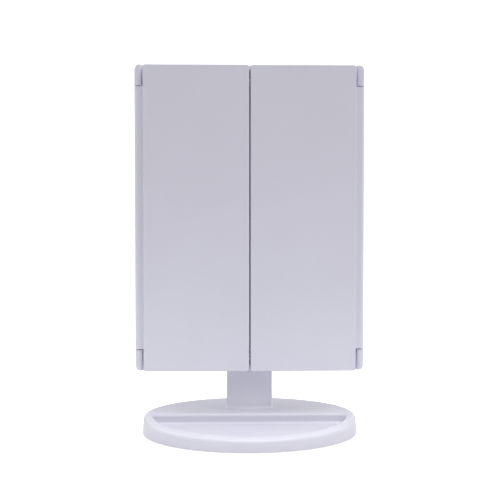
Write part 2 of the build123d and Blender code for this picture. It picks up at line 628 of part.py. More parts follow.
# ================================================================ head: rear cover
BACK_ROUND = 3.0
SLOT_WALL = 2.5
BAY_WALL = 1.5
LEDGE_Y = BOX_BACK - DOOR_T - 0.2
TRUNNION_R = 0.6
TRUNNION_LENGTH = 0.8
DOOR_AXIS_Y = BOX_BACK - DOOR_T / 2 - 0.1
DOOR_AXIS_Z = DOOR_Z0 + FIT + DOOR_T / 2
NOTCH_R, NOTCH_OUT = 4.4, 3.2  # the hollow for a fingertip at the top of the door
BOX_CORNER = 5.0

with BuildPart() as rear_cover:
    with BuildSketch(facing(FRAME_BACK + 0.05)):
        with Locations((0, HEAD_MID)):
            RectangleRounded(2 * BODY_HALF_W, HEAD_H, 2.0)
    extrude(amount=-(PANEL_BACK - FRAME_BACK - 0.05))
    fillet(rear_cover.faces().sort_by(Axis.Y)[-1].edges(), radius=BACK_ROUND)
    with BuildSketch(facing(PANEL_BACK - 1)):
        with Locations((0, (BOX_Z0 + BOX_Z1) / 2)):
            RectangleRounded(2 * BOX_HALF_W, BOX_Z1 - BOX_Z0, BOX_CORNER)
    extrude(amount=-(BOX_BACK - PANEL_BACK + 1))
    fillet(rear_cover.faces().sort_by(Axis.Y)[-1].edges(), radius=BACK_ROUND)
    # hollow panel, and the box's side and lower chambers
    hollow_half = BODY_HALF_W - FRAME_WALL
    cuboid(-hollow_half, hollow_half, FRAME_BACK, PANEL_BACK - WALL, HEAD_BOTTOM + WALL, HEAD_TOP - WALL,
           Mode.SUBTRACT)
    box_half = BOX_HALF_W - WALL
    cuboid(-box_half, box_half, FRAME_BACK, BOX_BACK - WALL, BOX_Z0 + WALL, DOOR_Z0 - BAY_WALL, Mode.SUBTRACT)
    for side in SIDES:
        inner, outer = sorted((side * (DOOR_HALF_W + BAY_WALL), side * box_half))
        cuboid(inner, outer, FRAME_BACK, BOX_BACK - WALL, DOOR_Z0 - BAY_WALL - 1, BOX_Z1 - WALL,
               Mode.SUBTRACT)
    # battery bay and the door's seat
    cuboid(-BAY_HALF_W, BAY_HALF_W, BAY_FLOOR, BOX_BACK, BAY_Z0, BAY_Z1, Mode.SUBTRACT)
    cuboid(-DOOR_HALF_W, DOOR_HALF_W, LEDGE_Y, BOX_BACK, DOOR_Z0, DOOR_Z1, Mode.SUBTRACT)
    rod(across(-DOOR_HALF_W - TRUNNION_LENGTH), [(DOOR_AXIS_Y, DOOR_AXIS_Z)], TRUNNION_R + RUN,
        2 * (DOOR_HALF_W + TRUNNION_LENGTH), Mode.SUBTRACT)
    with Locations((0, BOX_BACK + NOTCH_OUT, DOOR_Z1)):
        Sphere(NOTCH_R, mode=Mode.SUBTRACT)
    # slot for the stem, with the two lugs of the tilt hinge on its sides
    slot_out = SLOT_HALF + SLOT_WALL
    cuboid(-slot_out, slot_out, PLATE_BACK + 0.1, PANEL_BACK - 1, HEAD_BOTTOM + WALL + 0.1, SLOT_TOP + WALL)
    cuboid(-slot_out, slot_out, PANEL_BACK - 1, BOX_BACK - 1, BOX_Z0 + 1, SLOT_TOP + WALL)
    for start in (-LUG_END, SLOT_HALF):
        rod(across(start), [(PIVOT_Y, PIVOT_Z)], LUG_R, LUG_END - SLOT_HALF)
    cuboid(-SLOT_HALF, SLOT_HALF, FRAME_BACK, BOX_BACK, 0, SLOT_TOP, Mode.SUBTRACT)
    rod(across(-STEM_W), [(PIVOT_Y, PIVOT_Z)], BOLT_R + 0.02, 2 * STEM_W, Mode.SUBTRACT)
    # screw bosses, sunk screw heads, socket and switch openings
    rod(facing(PANEL_BACK - WALL), COVER_SCREWS, COVER_BOSS_R, PANEL_BACK - WALL - BOSS_MEET - 0.05)
    rod(facing(BOX_BACK), COVER_SCREWS, SCREW_R + FIT, BOX_BACK, Mode.SUBTRACT)
    rod(facing(PANEL_BACK), COVER_SCREWS, HEAD_R + FIT, PANEL_BACK - SCREW_SEAT, Mode.SUBTRACT)
    cuboid(-BOX_HALF_W - 1, -box_half + 1, USB_Y - USB_W / 2 - FIT, USB_Y + USB_W / 2 + FIT, USB_Z - FIT,
           USB_Z + USB_H + FIT, Mode.SUBTRACT)
    knob_slot = KNOB_HALF_W + SLOT_PLAY
    cuboid(SWITCH_X - knob_slot, SWITCH_X + knob_slot, BOX_BACK - WALL - 1, BOX_BACK, SWITCH_Z - slot_half_h,
           SWITCH_Z + slot_half_h, Mode.SUBTRACT)
rear_cover.part.label = "rear_cover"
export_step(rear_cover.part, "parts/rear_cover.step")

with BuildPart() as rear_cover_screws:
    rod(facing(PANEL_BACK - HEAD_STEP), COVER_SCREWS, HEAD_R, PANEL_BACK - HEAD_STEP - SCREW_SEAT)
    rod(facing(SCREW_SEAT), COVER_SCREWS, SCREW_R, SCREW_SEAT - PLATE_BACK)
    cross_recess(COVER_SCREWS, PANEL_BACK - HEAD_STEP)
rear_cover_screws.part.label = "rear_cover_screws"
export_step(rear_cover_screws.part, "parts/rear_cover_screws.step")

# ================================================================ battery bay
PLATE_T = 0.4
SPRING_R = 3.0
SPRING_WIRE_R = 0.35
SPRING_PITCH = 1.5
CONTACT_HALF = 5.5
NUB_R = 2.7
bay_inside = BAY_HALF_W - PLATE_T
spring_length = 2 * bay_inside - CELL_LENGTH - CELL_NUB

with BuildPart() as battery_cells:
    for i, z in enumerate(CELL_Z):
        way = 1 if i % 2 else -1
        start = -way * bay_inside + way * spring_length
        can, nub = across(start), across(start + way * CELL_LENGTH)
        rod(can, [(CELL_Y, z)], CELL_R, way * CELL_LENGTH)
        rod(nub, [(CELL_Y, z)], NUB_R, way * CELL_NUB)
battery_cells.part.label = "battery_cells"
export_step(battery_cells.part, "parts/battery_cells.step")

with BuildPart() as battery_contacts:
    for z in CELL_Z:
        for side in SIDES:
            inner, outer = sorted((side * bay_inside, side * BAY_HALF_W))
            cuboid(inner, outer, CELL_Y - CONTACT_HALF, CELL_Y + CONTACT_HALF, z - CONTACT_HALF,
                   z + CONTACT_HALF)
battery_contacts.part.label = "battery_contacts"
export_step(battery_contacts.part, "parts/battery_contacts.step")

with BuildPart() as battery_springs:
    for i, z in enumerate(CELL_Z):
        way = 1 if i % 2 else -1
        foot = (-way * (bay_inside - SPRING_WIRE_R), CELL_Y, z)
        coil_length = spring_length - 2 * SPRING_WIRE_R
        with BuildLine():
            coil = Helix(SPRING_PITCH, coil_length, SPRING_R, center=foot, direction=(way, 0, 0))
        with BuildSketch(Plane(coil @ 0, z_dir=coil % 0)):
            Circle(SPRING_WIRE_R)
        sweep(path=coil)
battery_springs.part.label = "battery_springs"
export_step(battery_springs.part, "parts/battery_springs.step")

with BuildPart() as battery_door:
    cuboid(-DOOR_HALF_W + FIT, DOOR_HALF_W - FIT, BOX_BACK - DOOR_T - 0.1, BOX_BACK - 0.1, DOOR_Z0 + FIT,
           DOOR_Z1 - FIT)
    fillet(battery_door.edges().filter_by(Axis.X).group_by(Axis.Z)[0], radius=DOOR_T / 2 - 0.01)
    fillet(battery_door.edges().filter_by(Axis.Y), radius=0.6)
    for side in SIDES:
        start = side * (DOOR_HALF_W - FIT)
        rod(across(start), [(DOOR_AXIS_Y, DOOR_AXIS_Z)], TRUNNION_R, side * (TRUNNION_LENGTH - 0.1))
    with Locations((0, BOX_BACK + NOTCH_OUT, DOOR_Z1)):
        Sphere(NOTCH_R, mode=Mode.SUBTRACT)
battery_door.part.label = "battery_door"
export_step(battery_door.part, "parts/battery_door.step")

# ================================================================ wings
WING_CORNER = 1.8
WING_EDGE = 0.8
BARREL_Z0 = HEAD_BOTTOM + EAR_H + BARREL_GAP
BARREL_Z1 = HEAD_TOP - EAR_H - BARREL_GAP
BORE_DEPTH = 8.0
DIVIDER = 2.0
MAGNIFIER_T = 1.2
HALF_POCKET = (WING_H - 2 * WING_BORDER - DIVIDER) / 2
LENS_W = WING_W - 2 * WING_BORDER - 2 * FIT
LENS_H = HALF_POCKET - 2 * FIT
LENS_CORNER = hypot(LENS_W, LENS_H) / 2


def wing_shell(side, divided):
    """One wing: a shallow tray with its mirror side open, and the long hinge barrel on its outer edge."""
    with BuildPart() as shell:
        with BuildSketch(facing(WING_RIM)):
            with Locations((side * WING_MID_X, WING_MID_Z)):
                RectangleRounded(WING_W, WING_H, WING_CORNER)
        extrude(amount=WING_RIM - WING_FACE)
        fillet(shell.faces().sort_by(Axis.Y)[0].edges(), radius=WING_EDGE)
        with BuildSketch(facing(WING_POCKET)):
            with Locations((side * WING_MID_X, WING_MID_Z)):
                RectangleRounded(WING_W - 2 * WING_BORDER, WING_H - 2 * WING_BORDER, 1.0)
                if divided:
                    Rectangle(WING_W, DIVIDER, mode=Mode.SUBTRACT)
        extrude(amount=WING_POCKET, mode=Mode.SUBTRACT)
        web_x = (WING_OUTER - 1 + HINGE_X) / 2
        with BuildSketch(Plane.XY.offset(BARREL_Z0)):
            with Locations((side * HINGE_X, 0)):
                Circle(KNUCKLE_R)
            with Locations((side * web_x, (WING_RIM - KNUCKLE_R) / 2)):
                Rectangle(HINGE_X - WING_OUTER + 1, KNUCKLE_R + WING_RIM)
        extrude(amount=BARREL_Z1 - BARREL_Z0)
        rod(Plane.XY.offset(BARREL_Z0), [(side * HINGE_X, 0)], PIN_R + RUN, BORE_DEPTH, Mode.SUBTRACT)
        rod(Plane.XY.offset(BARREL_Z1), [(side * HINGE_X, 0)], PIN_R + RUN, -BORE_DEPTH, Mode.SUBTRACT)
    return shell.part


left_wing_shell = wing_shell(-1, divided=True)
left_wing_shell.label = "left_wing_shell"
export_step(left_wing_shell, "parts/left_wing_shell.step")

right_wing_shell = wing_shell(1, divided=False)
right_wing_shell.label = "right_wing_shell"
export_step(right_wing_shell, "parts/right_wing_shell.step")


def dip(radius, reach):
    """How deep a spherical hollow of the given radius is at its middle, over a rim at reach."""
    return radius - sqrt(radius**2 - reach**2)


# the two magnifying panes are bent sheets: a focal length of 375 mm gives 3x, and 500 mm gives 2x
MAGNIFIERS = {
    "magnifier_3x": (WING_MID_Z + (HALF_POCKET + DIVIDER) / 2, 750.0),
    "magnifier_2x": (WING_MID_Z - (HALF_POCKET + DIVIDER) / 2, 1000.0),
}
for pane_name, (pane_z, sphere_r) in MAGNIFIERS.items():
    reach = LENS_CORNER + 3
    middle_y = WING_PANE - dip(sphere_r, LENS_CORNER)
    with BuildPart() as magnifier:
        with BuildSketch(facing(0)):
            with Locations((-WING_MID_X, pane_z)):
                RectangleRounded(LENS_W, LENS_H, 0.8)
        extrude(amount=-WING_POCKET)
        with BuildSketch(across(-WING_MID_X)):
            with BuildLine():
                reaches = (0, reach / 2, reach)
                silver = [(middle_y + dip(sphere_r, r), pane_z + r) for r in reaches]
                rear_r, rear_y = sphere_r + MAGNIFIER_T, middle_y - MAGNIFIER_T
                rear = [(rear_y + dip(rear_r, r), pane_z + r) for r in reaches]
                ThreePointArc(*silver)
                Line(silver[2], rear[2])
                ThreePointArc(*reversed(rear))
                Line(rear[0], silver[0])
            make_face()
        revolve(axis=Axis((-WING_MID_X, 0, pane_z), (0, 1, 0)), mode=Mode.INTERSECT)
    magnifier.part.label = pane_name
    export_step(magnifier.part, f"parts/{pane_name}.step")

with BuildPart() as right_wing_mirror:
    with BuildSketch(facing(WING_PANE)):
        with Locations((WING_MID_X, WING_MID_Z)):
            RectangleRounded(LENS_W, WING_H - 2 * WING_BORDER - 2 * FIT, 0.8)
    extrude(amount=PANE_T)
right_wing_mirror.part.label = "right_wing_mirror"
export_step(right_wing_mirror.part, "parts/right_wing_mirror.step")

# foam dabs hold the bent panes at their corners, and foam strips hold the flat one
DAB_X, DAB_Z, DAB_R = 28.0, 46.0, 4.0
STRIP_W, STRIP_H, STRIP_PITCH, STRIPS = 62.0, 12.0, 45.0, 5
with BuildPart() as left_wing_foam:
    for pane_z, sphere_r in MAGNIFIERS.values():
        pane_back = WING_PANE - dip(sphere_r, LENS_CORNER) - MAGNIFIER_T
        dab_top = pane_back + dip(sphere_r + MAGNIFIER_T, hypot(DAB_X, DAB_Z) - DAB_R)
        dabs = [(-WING_MID_X + i * DAB_X, pane_z + j * DAB_Z) for i in SIDES for j in SIDES]
        rod(facing(dab_top), dabs, DAB_R, dab_top - WING_POCKET)
left_wing_foam.part.label = "left_wing_foam"
export_step(left_wing_foam.part, "parts/left_wing_foam.step")

with BuildPart() as right_wing_foam:
    with BuildSketch(facing(WING_PANE - PANE_T)):
        with Locations((WING_MID_X, WING_MID_Z)):
            with GridLocations(1, STRIP_PITCH, 1, STRIPS):
                Rectangle(STRIP_W, STRIP_H)
    extrude(amount=WING_PANE - PANE_T - WING_POCKET)
right_wing_foam.part.label = "right_wing_foam"
export_step(right_wing_foam.part, "parts/right_wing_foam.step")

# steel pins pressed into the ears, on which the barrels turn
for side, side_name in ((-1, "left"), (1, "right")):
    with BuildPart() as hinge_pins:
        rod(Plane.XY.offset(HEAD_BOTTOM + PIN_RECESS), [(side * HINGE_X, 0)], PIN_R, PIN_LENGTH)
        rod(Plane.XY.offset(HEAD_TOP - PIN_RECESS), [(side * HINGE_X, 0)], PIN_R, -PIN_LENGTH)
    hinge_pins.part.label = f"hinge_pins_{side_name}"
    export_step(hinge_pins.part, f"parts/hinge_pins_{side_name}.step")
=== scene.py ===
from math import atan2, cos, pi, radians, sin, sqrt

import bmesh
import bpy
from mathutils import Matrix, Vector


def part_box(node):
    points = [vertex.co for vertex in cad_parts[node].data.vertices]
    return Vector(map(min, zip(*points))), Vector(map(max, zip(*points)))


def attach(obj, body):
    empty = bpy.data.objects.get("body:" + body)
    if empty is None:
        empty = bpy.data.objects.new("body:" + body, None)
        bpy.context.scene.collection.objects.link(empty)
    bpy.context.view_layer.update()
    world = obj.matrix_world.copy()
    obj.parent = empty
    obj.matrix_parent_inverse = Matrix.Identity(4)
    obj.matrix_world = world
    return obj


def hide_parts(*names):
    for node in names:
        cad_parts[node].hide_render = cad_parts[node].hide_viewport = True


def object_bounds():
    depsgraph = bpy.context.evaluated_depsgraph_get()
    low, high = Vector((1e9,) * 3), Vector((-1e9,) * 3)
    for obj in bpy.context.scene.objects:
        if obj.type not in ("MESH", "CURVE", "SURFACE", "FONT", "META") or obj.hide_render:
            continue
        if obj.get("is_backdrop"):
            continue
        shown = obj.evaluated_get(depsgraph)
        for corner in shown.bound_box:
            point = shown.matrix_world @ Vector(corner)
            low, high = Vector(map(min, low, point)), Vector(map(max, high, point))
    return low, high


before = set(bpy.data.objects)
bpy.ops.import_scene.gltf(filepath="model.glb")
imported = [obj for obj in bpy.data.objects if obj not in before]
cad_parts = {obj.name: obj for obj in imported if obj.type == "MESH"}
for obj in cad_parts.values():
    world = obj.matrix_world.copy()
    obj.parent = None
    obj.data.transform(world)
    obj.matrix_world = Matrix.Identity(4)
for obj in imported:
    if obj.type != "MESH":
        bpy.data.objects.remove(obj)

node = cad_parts
cad_low, cad_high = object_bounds()
mm = 0.001

# ---------------------------------------------------------------- the room
# A plain white studio: a pale table that sweeps up into a bright wall behind, and a dim room in front, where
# the camera stands. One large soft light hangs above the table, in front of the mirror and a little to the
# right.
scene = bpy.context.scene
scene.view_settings.view_transform = "Standard"


def new_object(name, data):
    """Links an object to the scene, at the origin."""
    made = bpy.data.objects.new(name, data)
    scene.collection.objects.link(made)
    return made


softbox = bpy.data.lights.new("softbox", "AREA")
softbox.size = 1.1
softbox.energy = 7.5
softbox.color = (1, 0.99, 0.985)
softbox_stand = new_object("softbox", softbox)
softbox_stand.location = (0.18, -0.72, 1.25)
SOFTBOX_AIM = Vector((0, 0, 0.08))
softbox_way = SOFTBOX_AIM - softbox_stand.location
softbox_stand.rotation_euler = softbox_way.to_track_quat("-Z", "Y").to_euler()

# the room's light comes mostly from behind and above
FRONT_LIGHT, BACK_LIGHT = 0.11, 1.56
FADE_REACH = 0.75
room = bpy.data.worlds.new("white_room")
room.use_nodes = True
scene.world = room
room_nodes, room_links = room.node_tree.nodes, room.node_tree.links
room_way = room_nodes.new("ShaderNodeSeparateXYZ")
room_links.new(room_nodes.new("ShaderNodeTexCoord").outputs["Generated"], room_way.inputs[0])
room_lean = room_nodes.new("ShaderNodeMath")  # adds part of the height to the depth of a direction
room_lean.operation = "MULTIPLY_ADD"
room_lean.inputs[1].default_value = 1.0
room_links.new(room_way.outputs["Z"], room_lean.inputs[0])
room_links.new(room_way.outputs["Y"], room_lean.inputs[2])
room_fade = room_nodes.new("ShaderNodeMapRange")
room_fade.interpolation_type = "SMOOTHSTEP"
room_fade.inputs["From Min"].default_value = -FADE_REACH
room_fade.inputs["From Max"].default_value = FADE_REACH
room_fade.inputs["To Min"].default_value = FRONT_LIGHT
room_fade.inputs["To Max"].default_value = BACK_LIGHT
room_links.new(room_lean.outputs[0], room_fade.inputs["Value"])
room_seen = room_nodes.new("ShaderNodeMapRange")  # the camera sees plain white wherever nothing stands
room_seen.inputs["To Max"].default_value = 1.0
room_links.new(room_nodes.new("ShaderNodeLightPath").outputs["Is Camera Ray"], room_seen.inputs["Value"])
room_links.new(room_fade.outputs["Result"], room_seen.inputs["To Min"])
room_links.new(room_seen.outputs["Result"], room_nodes["Background"].inputs["Strength"])
room_nodes["Background"].inputs["Color"].default_value = (1, 1, 1, 1)

TABLE_HALF_W, TABLE_FRONT, SWEEP_START, SWEEP_R, WALL_TOP = 6.0, -0.27, 1.4, 1.0, 5.0
SWEEP_STEPS = 16
sweep_line = [(TABLE_FRONT, 0.0)]
for i in range(SWEEP_STEPS + 1):
    a = pi / 2 * i / SWEEP_STEPS
    sweep_line.append((SWEEP_START + SWEEP_R * sin(a), SWEEP_R * (1 - cos(a))))
sweep_line.append((SWEEP_START + SWEEP_R, WALL_TOP))
sweep_mesh = bpy.data.meshes.new("table_sweep")
sweep_points = [(side * TABLE_HALF_W, y, z) for y, z in sweep_line for side in (-1, 1)]
sweep_faces = [(2 * i, 2 * i + 1, 2 * i + 3, 2 * i + 2) for i in range(len(sweep_line) - 1)]
sweep_mesh.from_pydata(sweep_points, [], sweep_faces)
sweep_mesh.shade_smooth()
table_sweep = new_object("table_sweep", sweep_mesh)
table_paint = bpy.data.materials.new("table_paint")
table_paint.use_nodes = True
table_skin = table_paint.node_tree.nodes["Principled BSDF"]
table_skin.inputs["Base Color"].default_value = (0.84, 0.84, 0.845, 1)
table_skin.inputs["Roughness"].default_value = 0.7
table_skin.inputs["Emission Color"].default_value = (1, 1, 1, 1)
TABLE_LIFT = 0.75  # how far the table is lifted towards white where the camera sees it
table_nodes, table_links = table_paint.node_tree.nodes, table_paint.node_tree.links
table_seen = table_nodes.new("ShaderNodeMapRange")
table_seen.inputs["To Max"].default_value = TABLE_LIFT
table_links.new(table_nodes.new("ShaderNodeLightPath").outputs["Is Camera Ray"], table_seen.inputs["Value"])
table_links.new(table_seen.outputs["Result"], table_skin.inputs["Emission Strength"])
sweep_mesh.materials.append(table_paint)
table_sweep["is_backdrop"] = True

# The camera stands about half a metre off, level with the lower half of the mirror, and looks a little down.
camera = new_object("camera", bpy.data.cameras.new("camera"))
CAMERA_AZIMUTH = radians(-1.15)
CAMERA_PITCH = radians(1.42)
CAMERA_DISTANCE = 0.5687
CAMERA_SIDE = 0.000195
CAMERA_HEIGHT = 0.15815
camera.data.sensor_width = 36.0
camera.data.lens = 52.08
camera.location = (
    sin(CAMERA_AZIMUTH) * CAMERA_DISTANCE + CAMERA_SIDE * cos(CAMERA_AZIMUTH),
    -cos(CAMERA_AZIMUTH) * CAMERA_DISTANCE + CAMERA_SIDE * sin(CAMERA_AZIMUTH),
    CAMERA_HEIGHT,
)
look = Vector((
    -sin(CAMERA_AZIMUTH) * cos(CAMERA_PITCH),
    cos(CAMERA_AZIMUTH) * cos(CAMERA_PITCH),
    -sin(CAMERA_PITCH),
))
camera.rotation_euler = look.to_track_quat("-Z", "Y").to_euler()
camera.data.clip_start = 0.01
scene.camera = camera

# ---------------------------------------------------------------- base: the tray moulding
# An oval shell moulded in white ABS, with a shallow D-shaped tray in front of the stem. The tool's satin
# finish covers it, and the rim and the tray are rubbed smoother by hands and by what is put down there.


def coordinates(nodes):
    """The piece's own Object coordinates."""
    return nodes.new("ShaderNodeTexCoord").outputs["Object"]


def cloudy(tree, where, scale, low, high, detail=3.0):
    """A soft noise with the given scale per metre, spread between two values."""
    noise = tree.nodes.new("ShaderNodeTexNoise")
    noise.inputs["Scale"].default_value = scale
    noise.inputs["Detail"].default_value = detail
    tree.links.new(where, noise.inputs["Vector"])
    spread = tree.nodes.new("ShaderNodeMapRange")
    spread.inputs["From Min"].default_value = 0.2
    spread.inputs["From Max"].default_value = 0.8
    spread.inputs["To Min"].default_value = low
    spread.inputs["To Max"].default_value = high
    tree.links.new(noise.outputs["Fac"], spread.inputs["Value"])
    return spread.outputs["Result"]


def times(tree, value, factor):
    """Multiplies two numbers."""
    product = tree.nodes.new("ShaderNodeMath")
    product.operation = "MULTIPLY"
    tree.links.new(value, product.inputs[0])
    if isinstance(factor, float):
        product.inputs[1].default_value = factor
    else:
        tree.links.new(factor, product.inputs[1])
    return product.outputs[0]


def tinted(tree, share, dark, light):
    """A colour between two others."""
    blend = tree.nodes.new("ShaderNodeMix")
    blend.data_type = "RGBA"
    blend.inputs["A"].default_value = (*dark, 1)
    blend.inputs["B"].default_value = (*light, 1)
    tree.links.new(share, blend.inputs["Factor"])
    return blend.outputs["Result"]


def moulded(name, colour, gloss=0.36, grain_mm=0.45, depth_mm=0.004, rubbed=None):
    """Moulded plastic: a slightly uneven colour, hand marks in its gloss, and the fine grain of the tool."""
    material = bpy.data.materials.new(name)
    material.use_nodes = True
    tree = material.node_tree
    skin = tree.nodes["Principled BSDF"]
    where = coordinates(tree.nodes)
    uneven = cloudy(tree, where, 14.0, 0.0, 1.0)
    dark = [c * 0.975 for c in colour]
    light = [min(c * 1.02, 1) for c in colour]
    tree.links.new(tinted(tree, uneven, dark, light), skin.inputs["Base Color"])
    roughness = cloudy(tree, where, 900.0, gloss - 0.006, gloss + 0.006, 2.0)
    if rubbed:
        marks = tree.nodes.new("ShaderNodeAttribute")
        marks.attribute_name = rubbed
        fade = tree.nodes.new("ShaderNodeMapRange")
        fade.inputs["To Min"].default_value = 1.0
        fade.inputs["To Max"].default_value = 0.72
        tree.links.new(marks.outputs["Fac"], fade.inputs["Value"])
        roughness = times(tree, roughness, fade.outputs["Result"])
    tree.links.new(roughness, skin.inputs["Roughness"])
    grain = cloudy(tree, where, 1000 / grain_mm, 0.0, 1.0, 2.0)
    bump = tree.nodes.new("ShaderNodeBump")
    bump.inputs["Strength"].default_value = 0.5
    bump.inputs["Distance"].default_value = depth_mm * mm
    tree.links.new(grain, bump.inputs["Height"])
    tree.links.new(bump.outputs["Normal"], skin.inputs["Normal"])
    skin.inputs["IOR"].default_value = 1.53
    return material


def smooth(mesh, angle):
    """Smooth shading, with a crease wherever faces meet more sharply than the angle."""
    mesh.shade_smooth()
    mesh.set_sharp_from_angle(angle=radians(angle))


def face_outwards(mesh):
    """Turns every face of a closed shape to the outside, whichever way round its points were given."""
    shape = bmesh.new()
    shape.from_mesh(mesh)
    bmesh.ops.recalc_face_normals(shape, faces=shape.faces)
    shape.to_mesh(mesh)
    shape.free()


def skinned(name, rings, marks=None):
    """A closed shape skinned over rings of points, from one pole to the other. A pole is a ring of one point."""
    points, faces, numbers = [], [], []
    for ring in rings:
        numbers.append(range(len(points), len(points) + len(ring)))
        points += ring
    for low, high in zip(numbers, numbers[1:]):
        around = max(len(low), len(high))
        for i in range(around):
            j = (i + 1) % around
            corners = (low[i % len(low)], low[j % len(low)], high[j % len(high)], high[i % len(high)])
            faces.append(list(dict.fromkeys(corners)))
    mesh = bpy.data.meshes.new(name)
    mesh.from_pydata(points, [], faces)
    face_outwards(mesh)
    for mark, values in (marks or {}).items():
        layer = mesh.attributes.new(mark, "FLOAT", "POINT")
        layer.data.foreach_set("value", [v for v, ring in zip(values, rings) for _ in ring])
    return mesh


def oval_point(angle, half_x, half_y):
    """A point on an oval, and the direction square to it."""
    square = Vector((cos(angle) / half_x, sin(angle) / half_y)).normalized()
    return Vector((half_x * cos(angle), half_y * sin(angle))), square


base_low, base_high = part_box("base_top")
HALF_X, HALF_Y = base_high.x, base_high.y
LAND_Z, SKIRT_Z = base_high.z, base_low.z
RIM_WIDTH = 8.4 * mm
TRAY_X, TRAY_Y = HALF_X - RIM_WIDTH, HALF_Y - RIM_WIDTH
TRAY_FLOOR_Z = 7.3 * mm
TRAY_CORNER = 4.0 * mm
FRONT_Z = 10.2 * mm
FALL_START = 3.0 * mm
FALL = (LAND_Z - FRONT_Z) / (HALF_Y + FALL_START)
FALL_BLEND = 7.1 * mm
RIM_ROUND, FOOT_ROUND = 3.2 * mm, 1.5 * mm
LIP_ROUND, BACK_LIP_ROUND = 1.6 * mm, 2.8 * mm
DRAFT = 0.7 * mm
SKIRT_WALL = 2.2 * mm
ROOF_Z = 5.5 * mm
TRAY_CENTRE = Vector((0, -20 * mm))


def land_z(y):
    """Height of the top: flat at the back, then a gentle fall to the front."""
    past = FALL_START + FALL_BLEND - y
    if past <= 0:
        return LAND_Z
    if past < 2 * FALL_BLEND:
        return LAND_Z - FALL * past**2 / (4 * FALL_BLEND)
    return LAND_Z - FALL * (past - FALL_BLEND)


def tray_stations():
    """Points round the tray's edge with their outward directions, anticlockwise from the back middle."""
    low, high = -0.4, 0.0
    for _ in range(40):  # where the corner's arc leaves the oval
        middle = (low + high) / 2
        point, square = oval_point(middle, TRAY_X, TRAY_Y)
        low, high = (low, middle) if point.y - TRAY_CORNER * (square.y - 1) > 0 else (middle, high)
    corner = point - TRAY_CORNER * square
    turn = atan2(square.y, square.x)
    back_steps, arc_steps, front_steps = 36, 14, 190
    stations = [(Vector((-corner.x * i / back_steps, 0)), Vector((0, 1))) for i in range(back_steps)]
    for i in range(arc_steps):
        a = pi / 2 + (pi / 2 - turn) * i / arc_steps
        square = Vector((cos(a), sin(a)))
        stations.append((Vector((-corner.x, corner.y)) + TRAY_CORNER * square, square))
    for i in range(front_steps):
        a = pi - middle + (pi + 2 * middle) * i / front_steps
        stations.append(oval_point(a, TRAY_X, TRAY_Y))
    for i in range(arc_steps):
        a = turn + (pi / 2 - turn) * i / arc_steps
        stations.append((corner + TRAY_CORNER * Vector((cos(a), sin(a))), Vector((cos(a), sin(a)))))
    stations += [(Vector((corner.x * (1 - i / back_steps), 0)), Vector((0, 1))) for i in range(back_steps)]
    return stations


def rim_station(edge):
    """The point of the outer oval that lies beyond a point of the tray's edge, and its outward direction."""
    way = edge - TRAY_CENTRE
    a = (way.x / HALF_X) ** 2 + (way.y / HALF_Y) ** 2
    b = 2 * (TRAY_CENTRE.x * way.x / HALF_X**2 + TRAY_CENTRE.y * way.y / HALF_Y**2)
    c = (TRAY_CENTRE.x / HALF_X) ** 2 + (TRAY_CENTRE.y / HALF_Y) ** 2 - 1
    reach = (-b + sqrt(b * b - 4 * a * c)) / (2 * a)
    point = TRAY_CENTRE + reach * way
    return oval_point(atan2(point.y / HALF_Y, point.x / HALF_X), HALF_X, HALF_Y)


tray_edge = tray_stations()
rim_edge = [rim_station(point) for point, square in tray_edge]
rings, rubs = [[(TRAY_CENTRE.x, TRAY_CENTRE.y, TRAY_FLOOR_Z)]], [0.7]


def lip_round(y):
    """The round of the tray's lip, which is softer along the straight back."""
    share = max(0, min(1, 1 + y / (16 * mm)))
    return LIP_ROUND + (BACK_LIP_ROUND - LIP_ROUND) * share * share * (3 - 2 * share)


for share in (0.25, 0.5, 0.75, 0.92):
    ring = []
    for point, square in tray_edge:
        inner = point - square * FOOT_ROUND
        spot = TRAY_CENTRE.lerp(inner, share)
        ring.append((spot.x, spot.y, TRAY_FLOOR_Z))
    rings.append(ring)
    rubs.append(0.7)
ROUND_STEPS = 7
for i in range(ROUND_STEPS + 1):  # the foot of the tray's wall
    a = pi / 2 * i / ROUND_STEPS
    ring = []
    for point, square in tray_edge:
        spot = point - square * FOOT_ROUND * (1 - sin(a))
        ring.append((spot.x, spot.y, TRAY_FLOOR_Z + FOOT_ROUND * (1 - cos(a))))
    rings.append(ring)
    rubs.append(0.2)
for i in range(ROUND_STEPS + 1):  # the lip above it
    a = pi / 2 * i / ROUND_STEPS
    ring = []
    for point, square in tray_edge:
        r = lip_round(point.y)
        spot = point + square * r * (1 - cos(a))
        ring.append((spot.x, spot.y, land_z(point.y) - r * (1 - sin(a))))
    rings.append(ring)
    rubs.append(0.3 + 0.6 * sin(a))
LAND_STEPS = 14
for i in range(1, LAND_STEPS):
    ring = []
    for (point, square), (rim, outward) in zip(tray_edge, rim_edge):
        start = point + square * lip_round(point.y)
        spot = start.lerp(rim - outward * RIM_ROUND, i / LAND_STEPS)
        ring.append((spot.x, spot.y, land_z(spot.y)))
    rings.append(ring)
    rubs.append(0.1)
for i in range(ROUND_STEPS + 3):  # the rim's round
    a = pi / 2 * i / (ROUND_STEPS + 2)
    ring = []
    for rim, outward in rim_edge:
        height = land_z(rim.y) - RIM_ROUND * (1 - cos(a))
        lean = DRAFT * (height - SKIRT_Z) / LAND_Z * sin(a)
        spot = rim - outward * (RIM_ROUND * (1 - sin(a)) + lean)
        ring.append((spot.x, spot.y, height))
    rings.append(ring)
    rubs.append(sin(2 * a))
SKIRT_ROUND = 0.35 * mm
